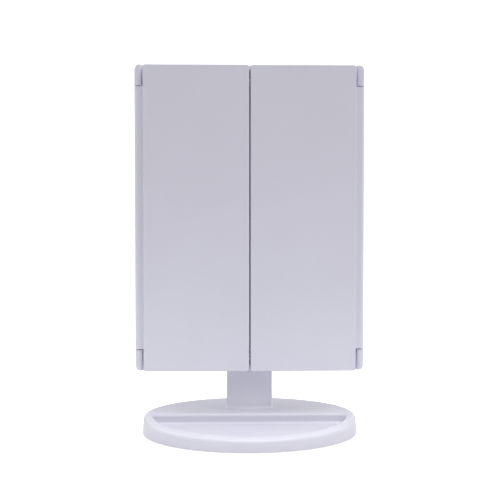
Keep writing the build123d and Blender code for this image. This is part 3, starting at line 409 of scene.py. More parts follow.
for inset, height, rub in (
    (0, SKIRT_Z + SKIRT_ROUND, 0.3),
    (0.3 * SKIRT_ROUND, SKIRT_Z + 0.3 * SKIRT_ROUND, 0.6),
    (SKIRT_ROUND, SKIRT_Z, 0.6),
    (SKIRT_WALL, SKIRT_Z, 0.0),
    (SKIRT_WALL, ROOF_Z, 0.0),
):
    ring = []
    for rim, outward in rim_edge:
        spot = rim - outward * inset
        ring.append((spot.x, spot.y, height))
    rings.append(ring)
    rubs.append(rub)
rings.append([(0, 0, ROOF_Z)])
rubs.append(0.0)
tray_mesh = skinned("tray_moulding", rings, {"rubbed": rubs})
smooth(tray_mesh, 40)
WHITE = (0.745, 0.74, 0.84)
# The base's white is darker than the head's white: painted shade on the base, standing in for less light than this
# room throws on it.
BASE_WHITE_PAINTED_SHADE = (0.68, 0.675, 0.765)
base_white_painted_shade = moulded("base_white_plastic_painted_shade", BASE_WHITE_PAINTED_SHADE, gloss=0.33, rubbed="rubbed")
tray_mesh.materials.append(base_white_painted_shade)
tray_moulding = new_object("tray_moulding", tray_mesh)
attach(tray_moulding, "base")
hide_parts("base_top")

# ---------------------------------------------------------------- base: the bottom cover
# A flat oval plate of the same ABS, dropped inside the skirt and held by four screws. It is never seen in
# use, so its grain is left coarser.


def finish(cad_name, material):
    """Gives a CAD piece its finish."""
    node[cad_name].material_slots[0].material = material


cover_white = moulded("cover_white_plastic", WHITE, gloss=0.48, grain_mm=0.9, depth_mm=0.02)
finish("base_bottom_cover", cover_white)

# ---------------------------------------------------------------- base: the feet
# Four soft rubber discs glued into round seats. Rings moulded in their soles grip the table.


def turned(name, profile, sides):
    """A turned shape about Z, from its lower pole to its upper one, as (radius, height) pairs."""
    rings = []
    for radius, height in profile:
        count = sides if radius > 0 else 1
        turns = [2 * pi * i / sides for i in range(count)]
        rings.append([(radius * cos(a), radius * sin(a), height) for a in turns])
    return skinned(name, rings)


def socket(tree, name, kind, way="INPUT"):
    """A named input or output of a node tree."""
    return tree.interface.new_socket(name, in_out=way, socket_type="NodeSocket" + kind)


def chain(tree, source, target):
    """Joins an output to an input of two nodes."""
    tree.links.new(source, target)


setting_out = bpy.data.node_groups.new("setting_out", "GeometryNodeTree")
for label, kind in (("Places", "Geometry"), ("Piece", "Object"), ("Facing", "Vector"), ("Turn", "Float"),
                    ("Seed", "Int"), ("Finish", "Material")):
    socket(setting_out, label, kind)
socket(setting_out, "Geometry", "Geometry", "OUTPUT")
given = setting_out.nodes.new("NodeGroupInput")
piece_in = setting_out.nodes.new("GeometryNodeObjectInfo")
facing_turn = setting_out.nodes.new("FunctionNodeEulerToRotation")
on_points = setting_out.nodes.new("GeometryNodeInstanceOnPoints")
chance = setting_out.nodes.new("FunctionNodeRandomValue")
chance_axis = setting_out.nodes.new("ShaderNodeCombineXYZ")
spin = setting_out.nodes.new("GeometryNodeRotateInstances")
real = setting_out.nodes.new("GeometryNodeRealizeInstances")
painted = setting_out.nodes.new("GeometryNodeSetMaterial")
result = setting_out.nodes.new("NodeGroupOutput")
chain(setting_out, given.outputs["Piece"], piece_in.inputs["Object"])
chain(setting_out, given.outputs["Places"], on_points.inputs["Points"])
chain(setting_out, piece_in.outputs["Geometry"], on_points.inputs["Instance"])
chain(setting_out, given.outputs["Facing"], facing_turn.inputs[0])
chain(setting_out, facing_turn.outputs[0], on_points.inputs["Rotation"])
chance.data_type = "FLOAT"
chance.inputs[2].default_value = 0.0
chain(setting_out, given.outputs["Turn"], chance.inputs[3])
chain(setting_out, given.outputs["Seed"], chance.inputs["Seed"])
chain(setting_out, chance.outputs[1], chance_axis.inputs["Z"])
chain(setting_out, on_points.outputs[0], spin.inputs["Instances"])
chain(setting_out, chance_axis.outputs[0], spin.inputs["Rotation"])
chain(setting_out, spin.outputs[0], real.inputs[0])
chain(setting_out, real.outputs[0], painted.inputs["Geometry"])
chain(setting_out, given.outputs["Finish"], painted.inputs["Material"])
chain(setting_out, painted.outputs[0], result.inputs[0])


def grown(name, tree, places, sizes):
    """Runs a node tree once on a set of places, and keeps what it makes as a plain mesh at the origin."""
    mesh = bpy.data.meshes.new(name + "_places")
    mesh.from_pydata(places, [], [])
    made = new_object(name, mesh)
    maker = made.modifiers.new("maker", "NODES")
    maker.node_group = tree
    for item in tree.interface.items_tree:
        if item.in_out == "INPUT" and item.name in sizes:
            maker[item.identifier] = sizes[item.name]
    result_mesh = bpy.data.meshes.new_from_object(made.evaluated_get(bpy.context.evaluated_depsgraph_get()))
    made.modifiers.remove(maker)
    made.data = result_mesh
    result_mesh.name = name
    return made


def placed(name, piece_mesh, places, material, facing=(0, 0, 0), turn=0.0, seed=1):
    """Sets copies of one piece out over a list of places."""
    pattern = new_object(name + "_pattern", piece_mesh)
    sizes = {"Piece": pattern, "Facing": facing, "Turn": turn, "Seed": seed, "Finish": material}
    made = grown(name, setting_out, places, sizes)
    bpy.data.objects.remove(pattern)
    return made


foot_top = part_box("rubber_feet")[1].z
FOOT_R = 7.0 * mm
FOOT_PLACES = [(-52 * mm, 32 * mm, 0), (52 * mm, 32 * mm, 0), (-55 * mm, -24 * mm, 0), (55 * mm, -24 * mm, 0)]
GROOVE = 0.35 * mm
sole = [(0, 0)]
for groove_r in (1.6 * mm, 3.2 * mm, 4.8 * mm):
    for step, depth in ((0, 0), (1, GROOVE), (1.3, GROOVE), (2.3, 0)):
        sole.append((groove_r + step * GROOVE, depth))
sole += [(FOOT_R - 0.5 * mm, 0), (FOOT_R - 0.15 * mm, 0.15 * mm), (FOOT_R, 0.5 * mm)]
sole += [(FOOT_R, foot_top), (0, foot_top)]
foot_mesh = turned("foot", sole, 64)
smooth(foot_mesh, 30)
rubber = moulded("foot_rubber", (0.55, 0.55, 0.57), gloss=0.78, grain_mm=0.25, depth_mm=0.03)
feet = placed("feet", foot_mesh, FOOT_PLACES, rubber, turn=2 * pi, seed=3)
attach(feet, "base")
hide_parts("rubber_feet")

# ---------------------------------------------------------------- screws
# Self-tapping screws of zinc plated steel with a cross recess: countersunk ones in the bottom cover, and
# pan heads in the back of the stem and of the head. Each stopped at its own angle.


def metal(name, colour, gloss, streak=900.0):
    """Plated or drawn metal, with fine marks in its gloss."""
    material = bpy.data.materials.new(name)
    material.use_nodes = True
    tree = material.node_tree
    skin = tree.nodes["Principled BSDF"]
    where = coordinates(tree.nodes)
    dull = [c * 0.86 for c in colour]
    tarnish = cloudy(tree, where, 160.0, 0.0, 1.0)
    tree.links.new(tinted(tree, tarnish, dull, colour), skin.inputs["Base Color"])
    tree.links.new(cloudy(tree, where, streak, gloss - 0.07, gloss + 0.1, 4.0), skin.inputs["Roughness"])
    skin.inputs["Metallic"].default_value = 1.0
    bump = tree.nodes.new("ShaderNodeBump")
    bump.inputs["Strength"].default_value = 0.4
    bump.inputs["Distance"].default_value = 0.004 * mm
    tree.links.new(cloudy(tree, where, 3000.0, 0.0, 1.0, 2.0), bump.inputs["Height"])
    tree.links.new(bump.outputs["Normal"], skin.inputs["Normal"])
    return material


def cross_ring(arm, slit, height):
    """A cross as a ring of points, anticlockwise."""
    ring, quarter = [], [(arm, -slit), (arm, slit), (slit, slit)]
    for _ in range(4):
        ring += [(x, y, height) for x, y in quarter]
        quarter = [(-y, x) for x, y in quarter]
    return ring


def screw(name, rim_profile, shank_r, length):
    """A screw that points down, its head's top at height 0, with a cross recess pressed into it."""
    sides = 36
    body = turned(name, [(0, -length), (shank_r * 0.6, -length + shank_r), (shank_r, -length + 2 * shank_r),
                         *rim_profile, (0, 0)], sides)
    arm, slit, depth = rim_profile[-1][0] * 0.72, 0.34 * mm, 0.75 * mm
    foot, mouth = cross_ring(arm * 0.86, slit * 0.86, -depth), cross_ring(arm * 1.14, slit * 1.14, depth)
    cross = skinned(name + "_cutter", [[(0, 0, -depth)], foot, mouth, [(0, 0, depth)]])
    cutter = new_object(name + "_cutter", cross)
    blank = new_object(name + "_blank", body)
    cut = blank.modifiers.new("cut", "BOOLEAN")
    cut.object = cutter
    cut.solver = "EXACT"
    made = bpy.data.meshes.new_from_object(blank.evaluated_get(bpy.context.evaluated_depsgraph_get()))
    for spent in (blank, cutter):
        bpy.data.objects.remove(spent)
    smooth(made, 32)
    return made


screw_zinc = metal("screw_zinc", (0.66, 0.66, 0.68), 0.32)
SHANK_R = 1.2 * mm
COUNTERSUNK = [(SHANK_R, -1.2 * mm), (2.5 * mm, -0.1 * mm), (2.45 * mm, 0)]
COUNTERSUNK_LENGTH, PAN_LENGTH = 4.6 * mm, 7.0 * mm
cover_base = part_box("base_bottom_cover")[0].z
countersunk = screw("countersunk_screw", COUNTERSUNK, SHANK_R, COUNTERSUNK_LENGTH)
COVER_SCREWS = [(-58 * mm, 20 * mm), (58 * mm, 20 * mm), (-40 * mm, -34 * mm), (40 * mm, -34 * mm)]
cover_places = [(x, y, cover_base) for x, y in COVER_SCREWS]
cover_screws = placed("cover_screws", countersunk, cover_places, screw_zinc, facing=(pi, 0, 0), turn=pi, seed=5)
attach(cover_screws, "base")
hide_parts("base_cover_screws")

PAN_R = 2.6 * mm
PAN = [(SHANK_R, -1.28 * mm), (2.55 * mm, -1.26 * mm), (PAN_R, -0.7 * mm), (2.3 * mm, -0.22 * mm), (1.7 * mm, 0)]
pan_head = screw("pan_head_screw", PAN, SHANK_R, PAN_LENGTH)
hatch_low, hatch_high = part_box("stem_hatch_screws")
HATCH_SCREW_PLACES = [(0, hatch_high.y, hatch_low.z + PAN_R), (0, hatch_high.y, hatch_high.z - PAN_R)]
TO_BACK = (-pi / 2, 0, 0)
hatch_screws = placed("hatch_screws", pan_head, HATCH_SCREW_PLACES, screw_zinc, facing=TO_BACK, turn=pi, seed=8)
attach(hatch_screws, "base")
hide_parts("stem_hatch_screws")
finish("stem_base_screws", screw_zinc)

# ---------------------------------------------------------------- stem
# A hollow upright moulded in ABS, bowed front and back, with a collar that hides where it enters the base.
# A hatch screwed on at the back closes it. It carries the tilt hinge's knuckle at its top.
# The stem's white is lighter than the head's white: painted light on the stem, making up for the head's shade
# falling on it.
stem_white_painted_light = moulded("stem_white_plastic_painted_light", (0.86, 0.86, 0.945), gloss=0.38, grain_mm=0.5)
finish("stem_body", stem_white_painted_light)
finish("stem_hatch", stem_white_painted_light)

# ---------------------------------------------------------------- tilt hinge
# A steel bolt through the knuckle and two lugs in the head. Nylon washers rub against the lugs, and cupped
# spring washers under the bolt's head and its nut keep enough grip for the head to stay where it is put.
nylon = moulded("washer_nylon", (0.80, 0.79, 0.74), gloss=0.42, grain_mm=0.3)
finish("friction_washers", nylon)
finish("tilt_bolt", screw_zinc)
finish("tilt_nut", screw_zinc)
finish("spring_washers", metal("washer_steel", (0.5, 0.5, 0.52), 0.26))

# ---------------------------------------------------------------- front frame
# The head's main moulding: a narrow border round the mirror, a plate behind it, and four corner ears that
# hold the wings' pins.
head_white = moulded("head_white_plastic", WHITE, gloss=0.34)
finish("front_frame", head_white)

# ---------------------------------------------------------------- centre mirror
# A sheet of silvered float glass laid in the frame on foam tape. Cleaning leaves faint smears on it.


def silvered(name):
    """Mirror glass with faint smears."""
    material = bpy.data.materials.new(name)
    material.use_nodes = True
    tree = material.node_tree
    skin = tree.nodes["Principled BSDF"]
    where = coordinates(tree.nodes)
    smears = cloudy(tree, where, 30.0, 0.0, 1.0, 6.0)
    tree.links.new(tinted(tree, smears, (0.90, 0.915, 0.92), (0.935, 0.945, 0.95)), skin.inputs["Base Color"])
    tree.links.new(cloudy(tree, where, 70.0, 0.012, 0.055, 6.0), skin.inputs["Roughness"])
    skin.inputs["Metallic"].default_value = 1.0
    return material


mirror_glass = silvered("mirror_glass")
finish("centre_mirror", mirror_glass)
foam = moulded("foam_tape", (0.78, 0.78, 0.77), gloss=0.85, grain_mm=0.6, depth_mm=0.08)
finish("centre_mirror_tape", foam)

# ---------------------------------------------------------------- lamps and their windows
# White lamps in small ceramic packages, soldered to narrow boards up both sides and across the top. Each
# has a phosphor pool in a round well, and shines through a frosted spot in the mirror.
lamp_low, lamp_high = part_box("lamps")
LED_W, LED_H = 3.5 * mm, 2.8 * mm

lamp_rows = bpy.data.node_groups.new("lamp_rows", "GeometryNodeTree")
for label, kind in (
    ("Places", "Geometry"), ("Piece", "Object"), ("Side count", "Int"), ("Side pitch", "Float"),
    ("Side reach", "Float"), ("Side start", "Float"), ("Top count", "Int"), ("Top pitch", "Float"),
    ("Top start", "Float"), ("Top height", "Float"), ("Depth", "Float"), ("Finish", "Material"),
):
    socket(lamp_rows, label, kind)
socket(lamp_rows, "Geometry", "Geometry", "OUTPUT")
given = lamp_rows.nodes.new("NodeGroupInput")
piece_in = lamp_rows.nodes.new("GeometryNodeObjectInfo")
chain(lamp_rows, given.outputs["Piece"], piece_in.inputs["Object"])
rows = lamp_rows.nodes.new("GeometryNodeJoinGeometry")
left_reach = lamp_rows.nodes.new("ShaderNodeMath")
left_reach.operation = "MULTIPLY"
left_reach.inputs[1].default_value = -1.0
chain(lamp_rows, given.outputs["Side reach"], left_reach.inputs[0])
for reach, height, count, pitch, axis in (
    (given.outputs["Side reach"], given.outputs["Side start"], "Side count", "Side pitch", "Z"),
    (left_reach.outputs[0], given.outputs["Side start"], "Side count", "Side pitch", "Z"),
    (given.outputs["Top start"], given.outputs["Top height"], "Top count", "Top pitch", "X"),
):
    line = lamp_rows.nodes.new("GeometryNodeMeshLine")
    start = lamp_rows.nodes.new("ShaderNodeCombineXYZ")
    step = lamp_rows.nodes.new("ShaderNodeCombineXYZ")
    chain(lamp_rows, reach, start.inputs["X"])
    chain(lamp_rows, given.outputs["Depth"], start.inputs["Y"])
    chain(lamp_rows, height, start.inputs["Z"])
    chain(lamp_rows, given.outputs[pitch], step.inputs[axis])
    chain(lamp_rows, given.outputs[count], line.inputs["Count"])
    chain(lamp_rows, start.outputs[0], line.inputs["Start Location"])
    chain(lamp_rows, step.outputs[0], line.inputs["Offset"])
    chain(lamp_rows, line.outputs[0], rows.inputs[0])
on_points = lamp_rows.nodes.new("GeometryNodeInstanceOnPoints")
real = lamp_rows.nodes.new("GeometryNodeRealizeInstances")
painted = lamp_rows.nodes.new("GeometryNodeSetMaterial")
result = lamp_rows.nodes.new("NodeGroupOutput")
chain(lamp_rows, rows.outputs[0], on_points.inputs["Points"])
chain(lamp_rows, piece_in.outputs["Geometry"], on_points.inputs["Instance"])
chain(lamp_rows, on_points.outputs[0], real.inputs[0])
chain(lamp_rows, real.outputs[0], painted.inputs["Geometry"])
chain(lamp_rows, given.outputs["Finish"], painted.inputs["Material"])
chain(lamp_rows, painted.outputs[0], result.inputs[0])

SIDE_COUNT, TOP_COUNT = 8, 5
SIDE_PITCH, TOP_PITCH = 27 * mm, 22 * mm
side_reach = lamp_high.x - LED_W / 2
side_start = lamp_low.z + LED_H / 2
top_height = lamp_high.z - LED_H / 2
top_start = -TOP_PITCH * (TOP_COUNT - 1) / 2


def in_lamp_rows(name, piece_mesh, depth, material):
    """Sets copies of one piece out in the rows of the lamps, at one depth."""
    pattern = new_object(name + "_pattern", piece_mesh)
    sizes = {"Piece": pattern, "Side count": SIDE_COUNT, "Side pitch": SIDE_PITCH, "Side reach": side_reach,
             "Side start": side_start, "Top count": TOP_COUNT, "Top pitch": TOP_PITCH, "Top start": top_start,
             "Top height": top_height, "Depth": depth, "Finish": material}
    made = grown(name, lamp_rows, [(0, 0, 0)], sizes)
    bpy.data.objects.remove(pattern)
    return made


def facing_front(mesh):
    """Turns a shape made about Z so that its top faces the viewer."""
    for vertex in mesh.vertices:
        x, y, z = vertex.co
        vertex.co = (x, -z, y)
    return mesh


def rounded_box_ring(half_w, half_h, corner, height, steps=5):
    """A rounded rectangle as a ring of points, anticlockwise."""
    ring = []
    for quarter, (sx, sy) in enumerate(((1, 1), (-1, 1), (-1, -1), (1, -1))):
        for i in range(steps + 1):
            a = pi / 2 * (quarter + i / steps)
            x, y = sx * (half_w - corner) + corner * cos(a), sy * (half_h - corner) + corner * sin(a)
            ring.append((x, y, height))
    return ring


def round_ring(radius, height, count):
    """A circle as a ring of points that starts at the same place as a rounded rectangle's."""
    turns = [2 * pi * (i + 0.5) / count for i in range(count)]
    return [(radius * cos(a), radius * sin(a), height) for a in turns]


led_depth = lamp_high.y - lamp_low.y
led_rings = [[(0, 0, 0)], rounded_box_ring(LED_W / 2, LED_H / 2, 0.2 * mm, 0)]
led_rings.append(rounded_box_ring(LED_W / 2, LED_H / 2, 0.2 * mm, led_depth - 0.12 * mm))
led_rings.append(rounded_box_ring(LED_W / 2 - 0.12 * mm, LED_H / 2 - 0.12 * mm, 0.2 * mm, led_depth))
led_rings.append(round_ring(1.2 * mm, led_depth, 24))
led_rings.append(round_ring(1.0 * mm, led_depth - 0.5 * mm, 24))
led_rings.append([(0, 0, led_depth - 0.5 * mm)])
led_mesh = facing_front(skinned("lamp_package", led_rings))
smooth(led_mesh, 35)
ceramic = moulded("lamp_ceramic", (0.86, 0.86, 0.84), gloss=0.45, grain_mm=0.2)
lamp_bodies = in_lamp_rows("lamp_bodies", led_mesh, lamp_high.y, ceramic)
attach(lamp_bodies, "head")
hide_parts("lamps")

pool_profile = [(0, 0), (1.02 * mm, 0), (1.0 * mm, 0.28 * mm), (0.6 * mm, 0.36 * mm), (0, 0.4 * mm)]
pool_mesh = facing_front(turned("lamp_phosphor", pool_profile, 24))
smooth(pool_mesh, 50)
phosphor = moulded("lamp_phosphor", (0.86, 0.66, 0.16), gloss=0.3, grain_mm=0.08, depth_mm=0.01)
lamp_pools = in_lamp_rows("lamp_phosphor_pools", pool_mesh, lamp_high.y - led_depth + 0.52 * mm, phosphor)
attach(lamp_pools, "head")


def frosted(name):
    """Etched glass: pale, blurred and a little see-through."""
    material = bpy.data.materials.new(name)
    material.use_nodes = True
    tree = material.node_tree
    skin = tree.nodes["Principled BSDF"]
    where = coordinates(tree.nodes)
    tree.links.new(tinted(tree, cloudy(tree, where, 900.0, 0.0, 1.0), (0.84, 0.86, 0.88), (0.92, 0.93, 0.94)),
                   skin.inputs["Base Color"])
    tree.links.new(cloudy(tree, where, 2600.0, 0.42, 0.6), skin.inputs["Roughness"])
    skin.inputs["Subsurface Weight"].default_value = 0.25
    skin.inputs["Subsurface Radius"].default_value = (0.8 * mm, 0.8 * mm, 0.8 * mm)
    skin.inputs["Subsurface Scale"].default_value = 1.0
    return material


etched = frosted("etched_window")
window_low, window_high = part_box("lamp_windows")
window_depth = window_high.y - window_low.y
WINDOW_R, WINDOW_EASE = 2.5 * mm, 0.06 * mm
window_profile = [(0, 0), (WINDOW_R, 0), (WINDOW_R, window_depth - WINDOW_EASE),
                  (WINDOW_R - WINDOW_EASE, window_depth), (0, window_depth)]
window_mesh = facing_front(turned("lamp_window", window_profile, 40))
smooth(window_mesh, 35)
windows = in_lamp_rows("lamp_frosted_windows", window_mesh, window_high.y, etched)
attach(windows, "head")
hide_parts("lamp_windows")
board_white = moulded("board_white_mask", (0.80, 0.82, 0.80), gloss=0.28, grain_mm=1.2, depth_mm=0.004)
for board in ("lamp_board_left", "lamp_board_right", "lamp_board_top"):
    finish(board, board_white)

# ---------------------------------------------------------------- touch switch
# A copper pad behind a frosted spot at the foot of the mirror feels a fingertip and switches the lamps. The
# spot carries the plain sign for power: a broken ring with a bar.
finish("touch_window", etched)
finish("touch_pad", metal("copper_foil", (0.83, 0.47, 0.32), 0.35))
touch_low, touch_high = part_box("touch_window")
MARK_R, MARK_W, MARK_T = 2.3 * mm, 0.45 * mm, 0.03 * mm
touch_x, touch_z = (touch_low.x + touch_high.x) / 2, (touch_low.z + touch_high.z) / 2


def flat_band(points, width, front_y, thick):
    """A thin closed band along a line of (x, z) points, standing on the surface behind it."""
    verts, faces = [], []
    for i, point in enumerate(points):
        before, after = points[max(i - 1, 0)], points[min(i + 1, len(points) - 1)]
        way = (Vector(after) - Vector(before)).normalized()
        side = Vector((-way.y, way.x)) * width / 2
        for y in (front_y, front_y + thick):
            for s in (1, -1):
                verts.append((point[0] + s * side.x, y, point[1] + s * side.y))
    for i in range(len(points) - 1):
        a, b = 4 * i, 4 * i + 4
        faces += [(a, a + 1, b + 1, b), (a + 2, b + 2, b + 3, a + 3)]
        faces += [(a, b, b + 2, a + 2), (a + 1, a + 3, b + 3, b + 1)]
    end = 4 * (len(points) - 1)
    faces += [(0, 2, 3, 1), (end, end + 1, end + 3, end + 2)]
    return verts, faces


GAP = radians(32)
ARC_STEPS = 40
arc_turns = [GAP + (2 * pi - 2 * GAP) * i / ARC_STEPS for i in range(ARC_STEPS + 1)]
arc = [(touch_x + MARK_R * sin(a), touch_z + MARK_R * cos(a)) for a in arc_turns]
bar = [(touch_x, touch_z + 0.4 * mm), (touch_x, touch_z + 1.5 * mm), (touch_x, touch_z + 2.8 * mm)]
mark_verts, mark_faces = flat_band(arc, MARK_W, touch_low.y - MARK_T, MARK_T)
bar_verts, bar_faces = flat_band(bar, MARK_W, touch_low.y - MARK_T, MARK_T)
mark_faces += [tuple(len(mark_verts) + v for v in face) for face in bar_faces]
mark_mesh = bpy.data.meshes.new("touch_mark")
mark_mesh.from_pydata(mark_verts + bar_verts, [], mark_faces)
face_outwards(mark_mesh)
mark_ink = moulded("mark_ink", (0.16, 0.17, 0.20), gloss=0.5, grain_mm=0.1)
mark_mesh.materials.append(mark_ink)
touch_mark = new_object("touch_mark", mark_mesh)
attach(touch_mark, "head")

# ---------------------------------------------------------------- electronics
# A small control board with its chips behind the mirror, and a charging socket on a board of its own.
board_green = moulded("control_board_mask", (0.05, 0.22, 0.11), gloss=0.25, grain_mm=1.5, depth_mm=0.01)
black = moulded("black_plastic", (0.022, 0.022, 0.024), gloss=0.42, grain_mm=0.35)
finish("control_board", board_green)
finish("board_parts", black)
finish("usb_board", board_green)
finish("usb_socket", metal("socket_shell", (0.74, 0.74, 0.76), 0.22))

# ---------------------------------------------------------------- power switch
# A slide switch behind the rear box, whose black knob stands out through a slot.
finish("switch_body", black)
finish("switch_knob", moulded("knob_black_plastic", (0.03, 0.03, 0.033), gloss=0.36, grain_mm=0.3))

# ---------------------------------------------------------------- rear cover
# The back of the head, with a raised box for the cells and the tilt hinge. Moulded in ABS like the front,
# and drawn up to it by six screws in sunk holes.
rear_white = moulded("rear_white_plastic", WHITE, gloss=0.42, grain_mm=0.7, depth_mm=0.012)
finish("rear_cover", rear_white)
rear_low, rear_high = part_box("rear_cover_screws")
REAR_SCREW_PLACES = [(x, rear_high.y, z) for x in (rear_low.x + PAN_R, rear_high.x - PAN_R)
                     for z in (rear_low.z + PAN_R, rear_high.z - PAN_R)]
REAR_SCREW_PLACES += [(side * 47 * mm, rear_high.y, rear_low.z + PAN_R) for side in (-1, 1)]
rear_screws = placed("rear_screws", pan_head, REAR_SCREW_PLACES, screw_zinc, facing=TO_BACK, turn=pi, seed=11)
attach(rear_screws, "head")
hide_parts("rear_cover_screws")

# ---------------------------------------------------------------- cells
# Four AA cells lie across the bay, each the other way round from the next. A printed film shrunk over the
# steel can leaves the rims and the nub bare.
cell_low, cell_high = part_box("battery_cells")
CELL_R, CELL_LENGTH = 7.1 * mm, 49.2 * mm
CELL_PITCH, NUB_RISE = 15.1 * mm, 1.0 * mm
cell_y = (cell_low.y + cell_high.y) / 2
cell_mid_z = (cell_low.z + cell_high.z) / 2
CELL_END = [(0, 0.25 * mm), (5.9 * mm, 0.25 * mm), (6.5 * mm, 0.05 * mm), (6.9 * mm, 0.2 * mm), (CELL_R, 0.6 * mm)]
film_profile = [*CELL_END, (CELL_R, 24 * mm), *[(r, CELL_LENGTH - inset) for r, inset in reversed(CELL_END)]]
NUB = [(0, -0.6), (5.6, -0.6), (5.6, -0.2), (2.9, -0.2), (2.7, 0.1), (2.7, 0.8), (2.4, 1.0), (0, 1.0)]
nub_profile = [(r * mm, CELL_LENGTH + rise * mm) for r, rise in NUB]
film_mesh, nub_mesh = turned("cell_film", film_profile, 64), turned("cell_nub", nub_profile, 48)
smooth(film_mesh, 38)
smooth(nub_mesh, 38)
cell_film = moulded("cell_film", (0.10, 0.13, 0.19), gloss=0.24, grain_mm=3.0, depth_mm=0.004)
cell_steel = metal("cell_steel", (0.72, 0.71, 0.69), 0.2)
for way, first, cell_name in ((1, 1, "cells_to_right"), (-1, 0, "cells_to_left")):
    start_x = cell_high.x - CELL_LENGTH - NUB_RISE if way > 0 else cell_low.x + CELL_LENGTH + NUB_RISE
    places = [(start_x, cell_y, cell_mid_z + (i - 1.5) * CELL_PITCH) for i in (first, first + 2)]
    facing = (0, way * pi / 2, 0)
    films = placed(cell_name, film_mesh.copy(), places, cell_film, facing=facing)
    nubs = placed(cell_name + "_nubs", nub_mesh.copy(), places, cell_steel, facing=facing)
    for piece in (films, nubs):
        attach(piece, "head")
    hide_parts("battery_cells")

# ---------------------------------------------------------------- contact springs
# Nickel plated steel wire wound into cones, one behind the flat end of each cell, on plain contact plates.
nickel = metal("contact_nickel", (0.70, 0.67, 0.61), 0.24)
finish("battery_contacts", nickel)

coils = bpy.data.node_groups.new("coils", "GeometryNodeTree")
for label, kind in (
    ("Places", "Geometry"), ("Turns", "Float"), ("Length", "Float"), ("Foot radius", "Float"),
    ("Tip radius", "Float"), ("Wire radius", "Float"), ("Facing", "Vector"), ("Finish", "Material"),
):
    socket(coils, label, kind)
socket(coils, "Geometry", "Geometry", "OUTPUT")
given = coils.nodes.new("NodeGroupInput")
spiral = coils.nodes.new("GeometryNodeCurveSpiral")
spiral.inputs["Resolution"].default_value = 28
wire = coils.nodes.new("GeometryNodeCurvePrimitiveCircle")
wire.inputs["Resolution"].default_value = 12
drawn = coils.nodes.new("GeometryNodeCurveToMesh")
drawn.inputs["Fill Caps"].default_value = True
on_points = coils.nodes.new("GeometryNodeInstanceOnPoints")
facing_turn = coils.nodes.new("FunctionNodeEulerToRotation")
real = coils.nodes.new("GeometryNodeRealizeInstances")
painted = coils.nodes.new("GeometryNodeSetMaterial")
result = coils.nodes.new("NodeGroupOutput")
for label, target in (
    ("Turns", spiral.inputs["Rotations"]), ("Length", spiral.inputs["Height"]),
    ("Foot radius", spiral.inputs["Start Radius"]), ("Tip radius", spiral.inputs["End Radius"]),
    ("Wire radius", wire.inputs["Radius"]), ("Facing", facing_turn.inputs[0]),
    ("Places", on_points.inputs["Points"]), ("Finish", painted.inputs["Material"]),
):
    chain(coils, given.outputs[label], target)
chain(coils, spiral.outputs[0], drawn.inputs["Curve"])
chain(coils, wire.outputs[0], drawn.inputs["Profile Curve"])
chain(coils, drawn.outputs[0], on_points.inputs["Instance"])
chain(coils, facing_turn.outputs[0], on_points.inputs["Rotation"])
chain(coils, on_points.outputs[0], real.inputs[0])
chain(coils, real.outputs[0], painted.inputs["Geometry"])
chain(coils, painted.outputs[0], result.inputs[0])

WIRE_R = 0.35 * mm
SPRING_TURNS, SPRING_LENGTH = 3.5, 4.7 * mm
spring_low, spring_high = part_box("battery_springs")
for way, first, spring_name in ((1, 1, "springs_on_left"), (-1, 0, "springs_on_right")):
    foot_x = spring_low.x + WIRE_R if way > 0 else spring_high.x - WIRE_R
    places = [(foot_x, cell_y, cell_mid_z + (i - 1.5) * CELL_PITCH) for i in (first, first + 2)]
    sizes = {"Turns": SPRING_TURNS, "Length": SPRING_LENGTH, "Foot radius": 3.2 * mm, "Tip radius": 2.3 * mm,
             "Wire radius": WIRE_R, "Facing": (0, way * pi / 2, 0), "Finish": nickel}
    springs = grown(spring_name, coils, places, sizes)
    smooth(springs.data, 50)
    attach(springs, "head")
    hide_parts("battery_springs")

# ---------------------------------------------------------------- battery lid
# A flat ABS lid that swings down on two small trunnions, with a hollow for a fingertip at its top.
finish("battery_door", rear_white)

# ---------------------------------------------------------------- wings
# Two shallow trays of white ABS with a long hinge barrel moulded along the outer edge. The left one holds
# two bent magnifying panes and the right one a flat pane, on dabs and strips of foam.
wing_white = moulded("wing_white_plastic", (0.745, 0.74, 0.845), gloss=0.36, grain_mm=0.5)
for wing in ("left_wing_shell", "right_wing_shell"):
    finish(wing, wing_white)
finish("right_wing_mirror", mirror_glass)


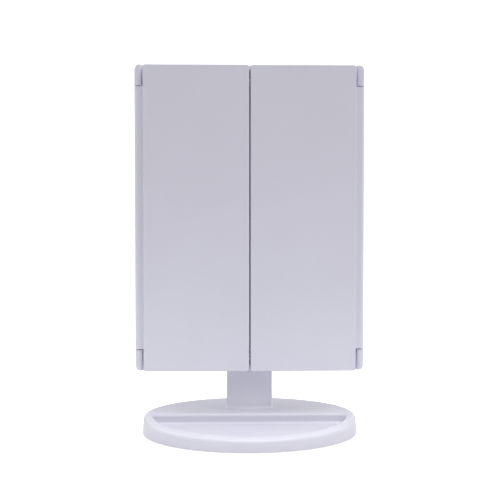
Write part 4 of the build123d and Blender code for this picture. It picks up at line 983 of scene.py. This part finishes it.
def bent_pane(name, sphere_r, corner, thick):
    """A rectangular sheet bent to a sphere to fill its CAD piece's box, its hollow silvered side facing back."""
    low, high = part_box(name)
    middle = Vector(((low.x + high.x) / 2, 0, (low.z + high.z) / 2))
    half_w, half_h = (high.x - low.x) / 2, (high.z - low.z) / 2
    rim_sag = sphere_r - sqrt(sphere_r**2 - half_w**2 - half_h**2)
    hollow_y = high.y - rim_sag
    ease = 0.12 * mm

    def sheet_ring(share, bend_r, start_y, inset=0.0):
        ring = []
        for x, z, _ in rounded_box_ring(half_w * share - inset, half_h * share - inset, corner * share, 0, 6):
            sag = bend_r - sqrt(bend_r**2 - x * x - z * z)
            ring.append((middle.x + x, start_y + sag, middle.z + z))
        return ring

    shares = [i / 12 for i in range(1, 13)]
    back_y = hollow_y - thick
    rings = [[(middle.x, back_y, middle.z)]]
    rings += [sheet_ring(share, sphere_r + thick, back_y) for share in shares[:-1]]
    rings += [sheet_ring(1, sphere_r + thick, back_y, ease), sheet_ring(1, sphere_r + thick, back_y + ease)]
    rings += [sheet_ring(1, sphere_r, hollow_y - ease), sheet_ring(1, sphere_r, hollow_y, ease)]
    rings += [sheet_ring(share, sphere_r, hollow_y) for share in reversed(shares[:-1])]
    rings.append([(middle.x, hollow_y, middle.z)])
    mesh = skinned(name + "_pane", rings)
    mesh.shade_smooth()
    # the silvered side takes its normals from the sphere itself
    centre = Vector((middle.x, hollow_y + sphere_r, middle.z))
    normals = [None] * len(mesh.loops)
    for face in mesh.polygons:
        bent = face.normal.y > 0.9
        for corner_of_face in face.loop_indices:
            spot = mesh.vertices[mesh.loops[corner_of_face].vertex_index].co
            normals[corner_of_face] = (centre - spot).normalized() if bent else face.normal.copy()
    mesh.normals_split_custom_set(normals)
    mesh.materials.append(mirror_glass)
    pane = new_object(name + "_pane", mesh)
    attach(pane, "left_wing")
    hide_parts(name)


# a pane bent to 750 mm magnifies three times, and one bent to a metre twice
PANE_CORNER, PANE_THICK = 0.8 * mm, 1.2 * mm
bent_pane("magnifier_3x", 0.75, PANE_CORNER, PANE_THICK)
bent_pane("magnifier_2x", 1.00, PANE_CORNER, PANE_THICK)
for pad in ("left_wing_foam", "right_wing_foam"):
    finish(pad, foam)

# ---------------------------------------------------------------- hinge pins
# Plain steel pins pushed through the ears into the ends of the barrels.
pin_steel = metal("pin_steel", (0.60, 0.60, 0.62), 0.28)
finish("hinge_pins_left", pin_steel)
finish("hinge_pins_right", pin_steel)

visual_low, visual_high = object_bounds()
sizes = {"cad": [list(cad_low), list(cad_high)], "visual": [list(visual_low), list(visual_high)]}
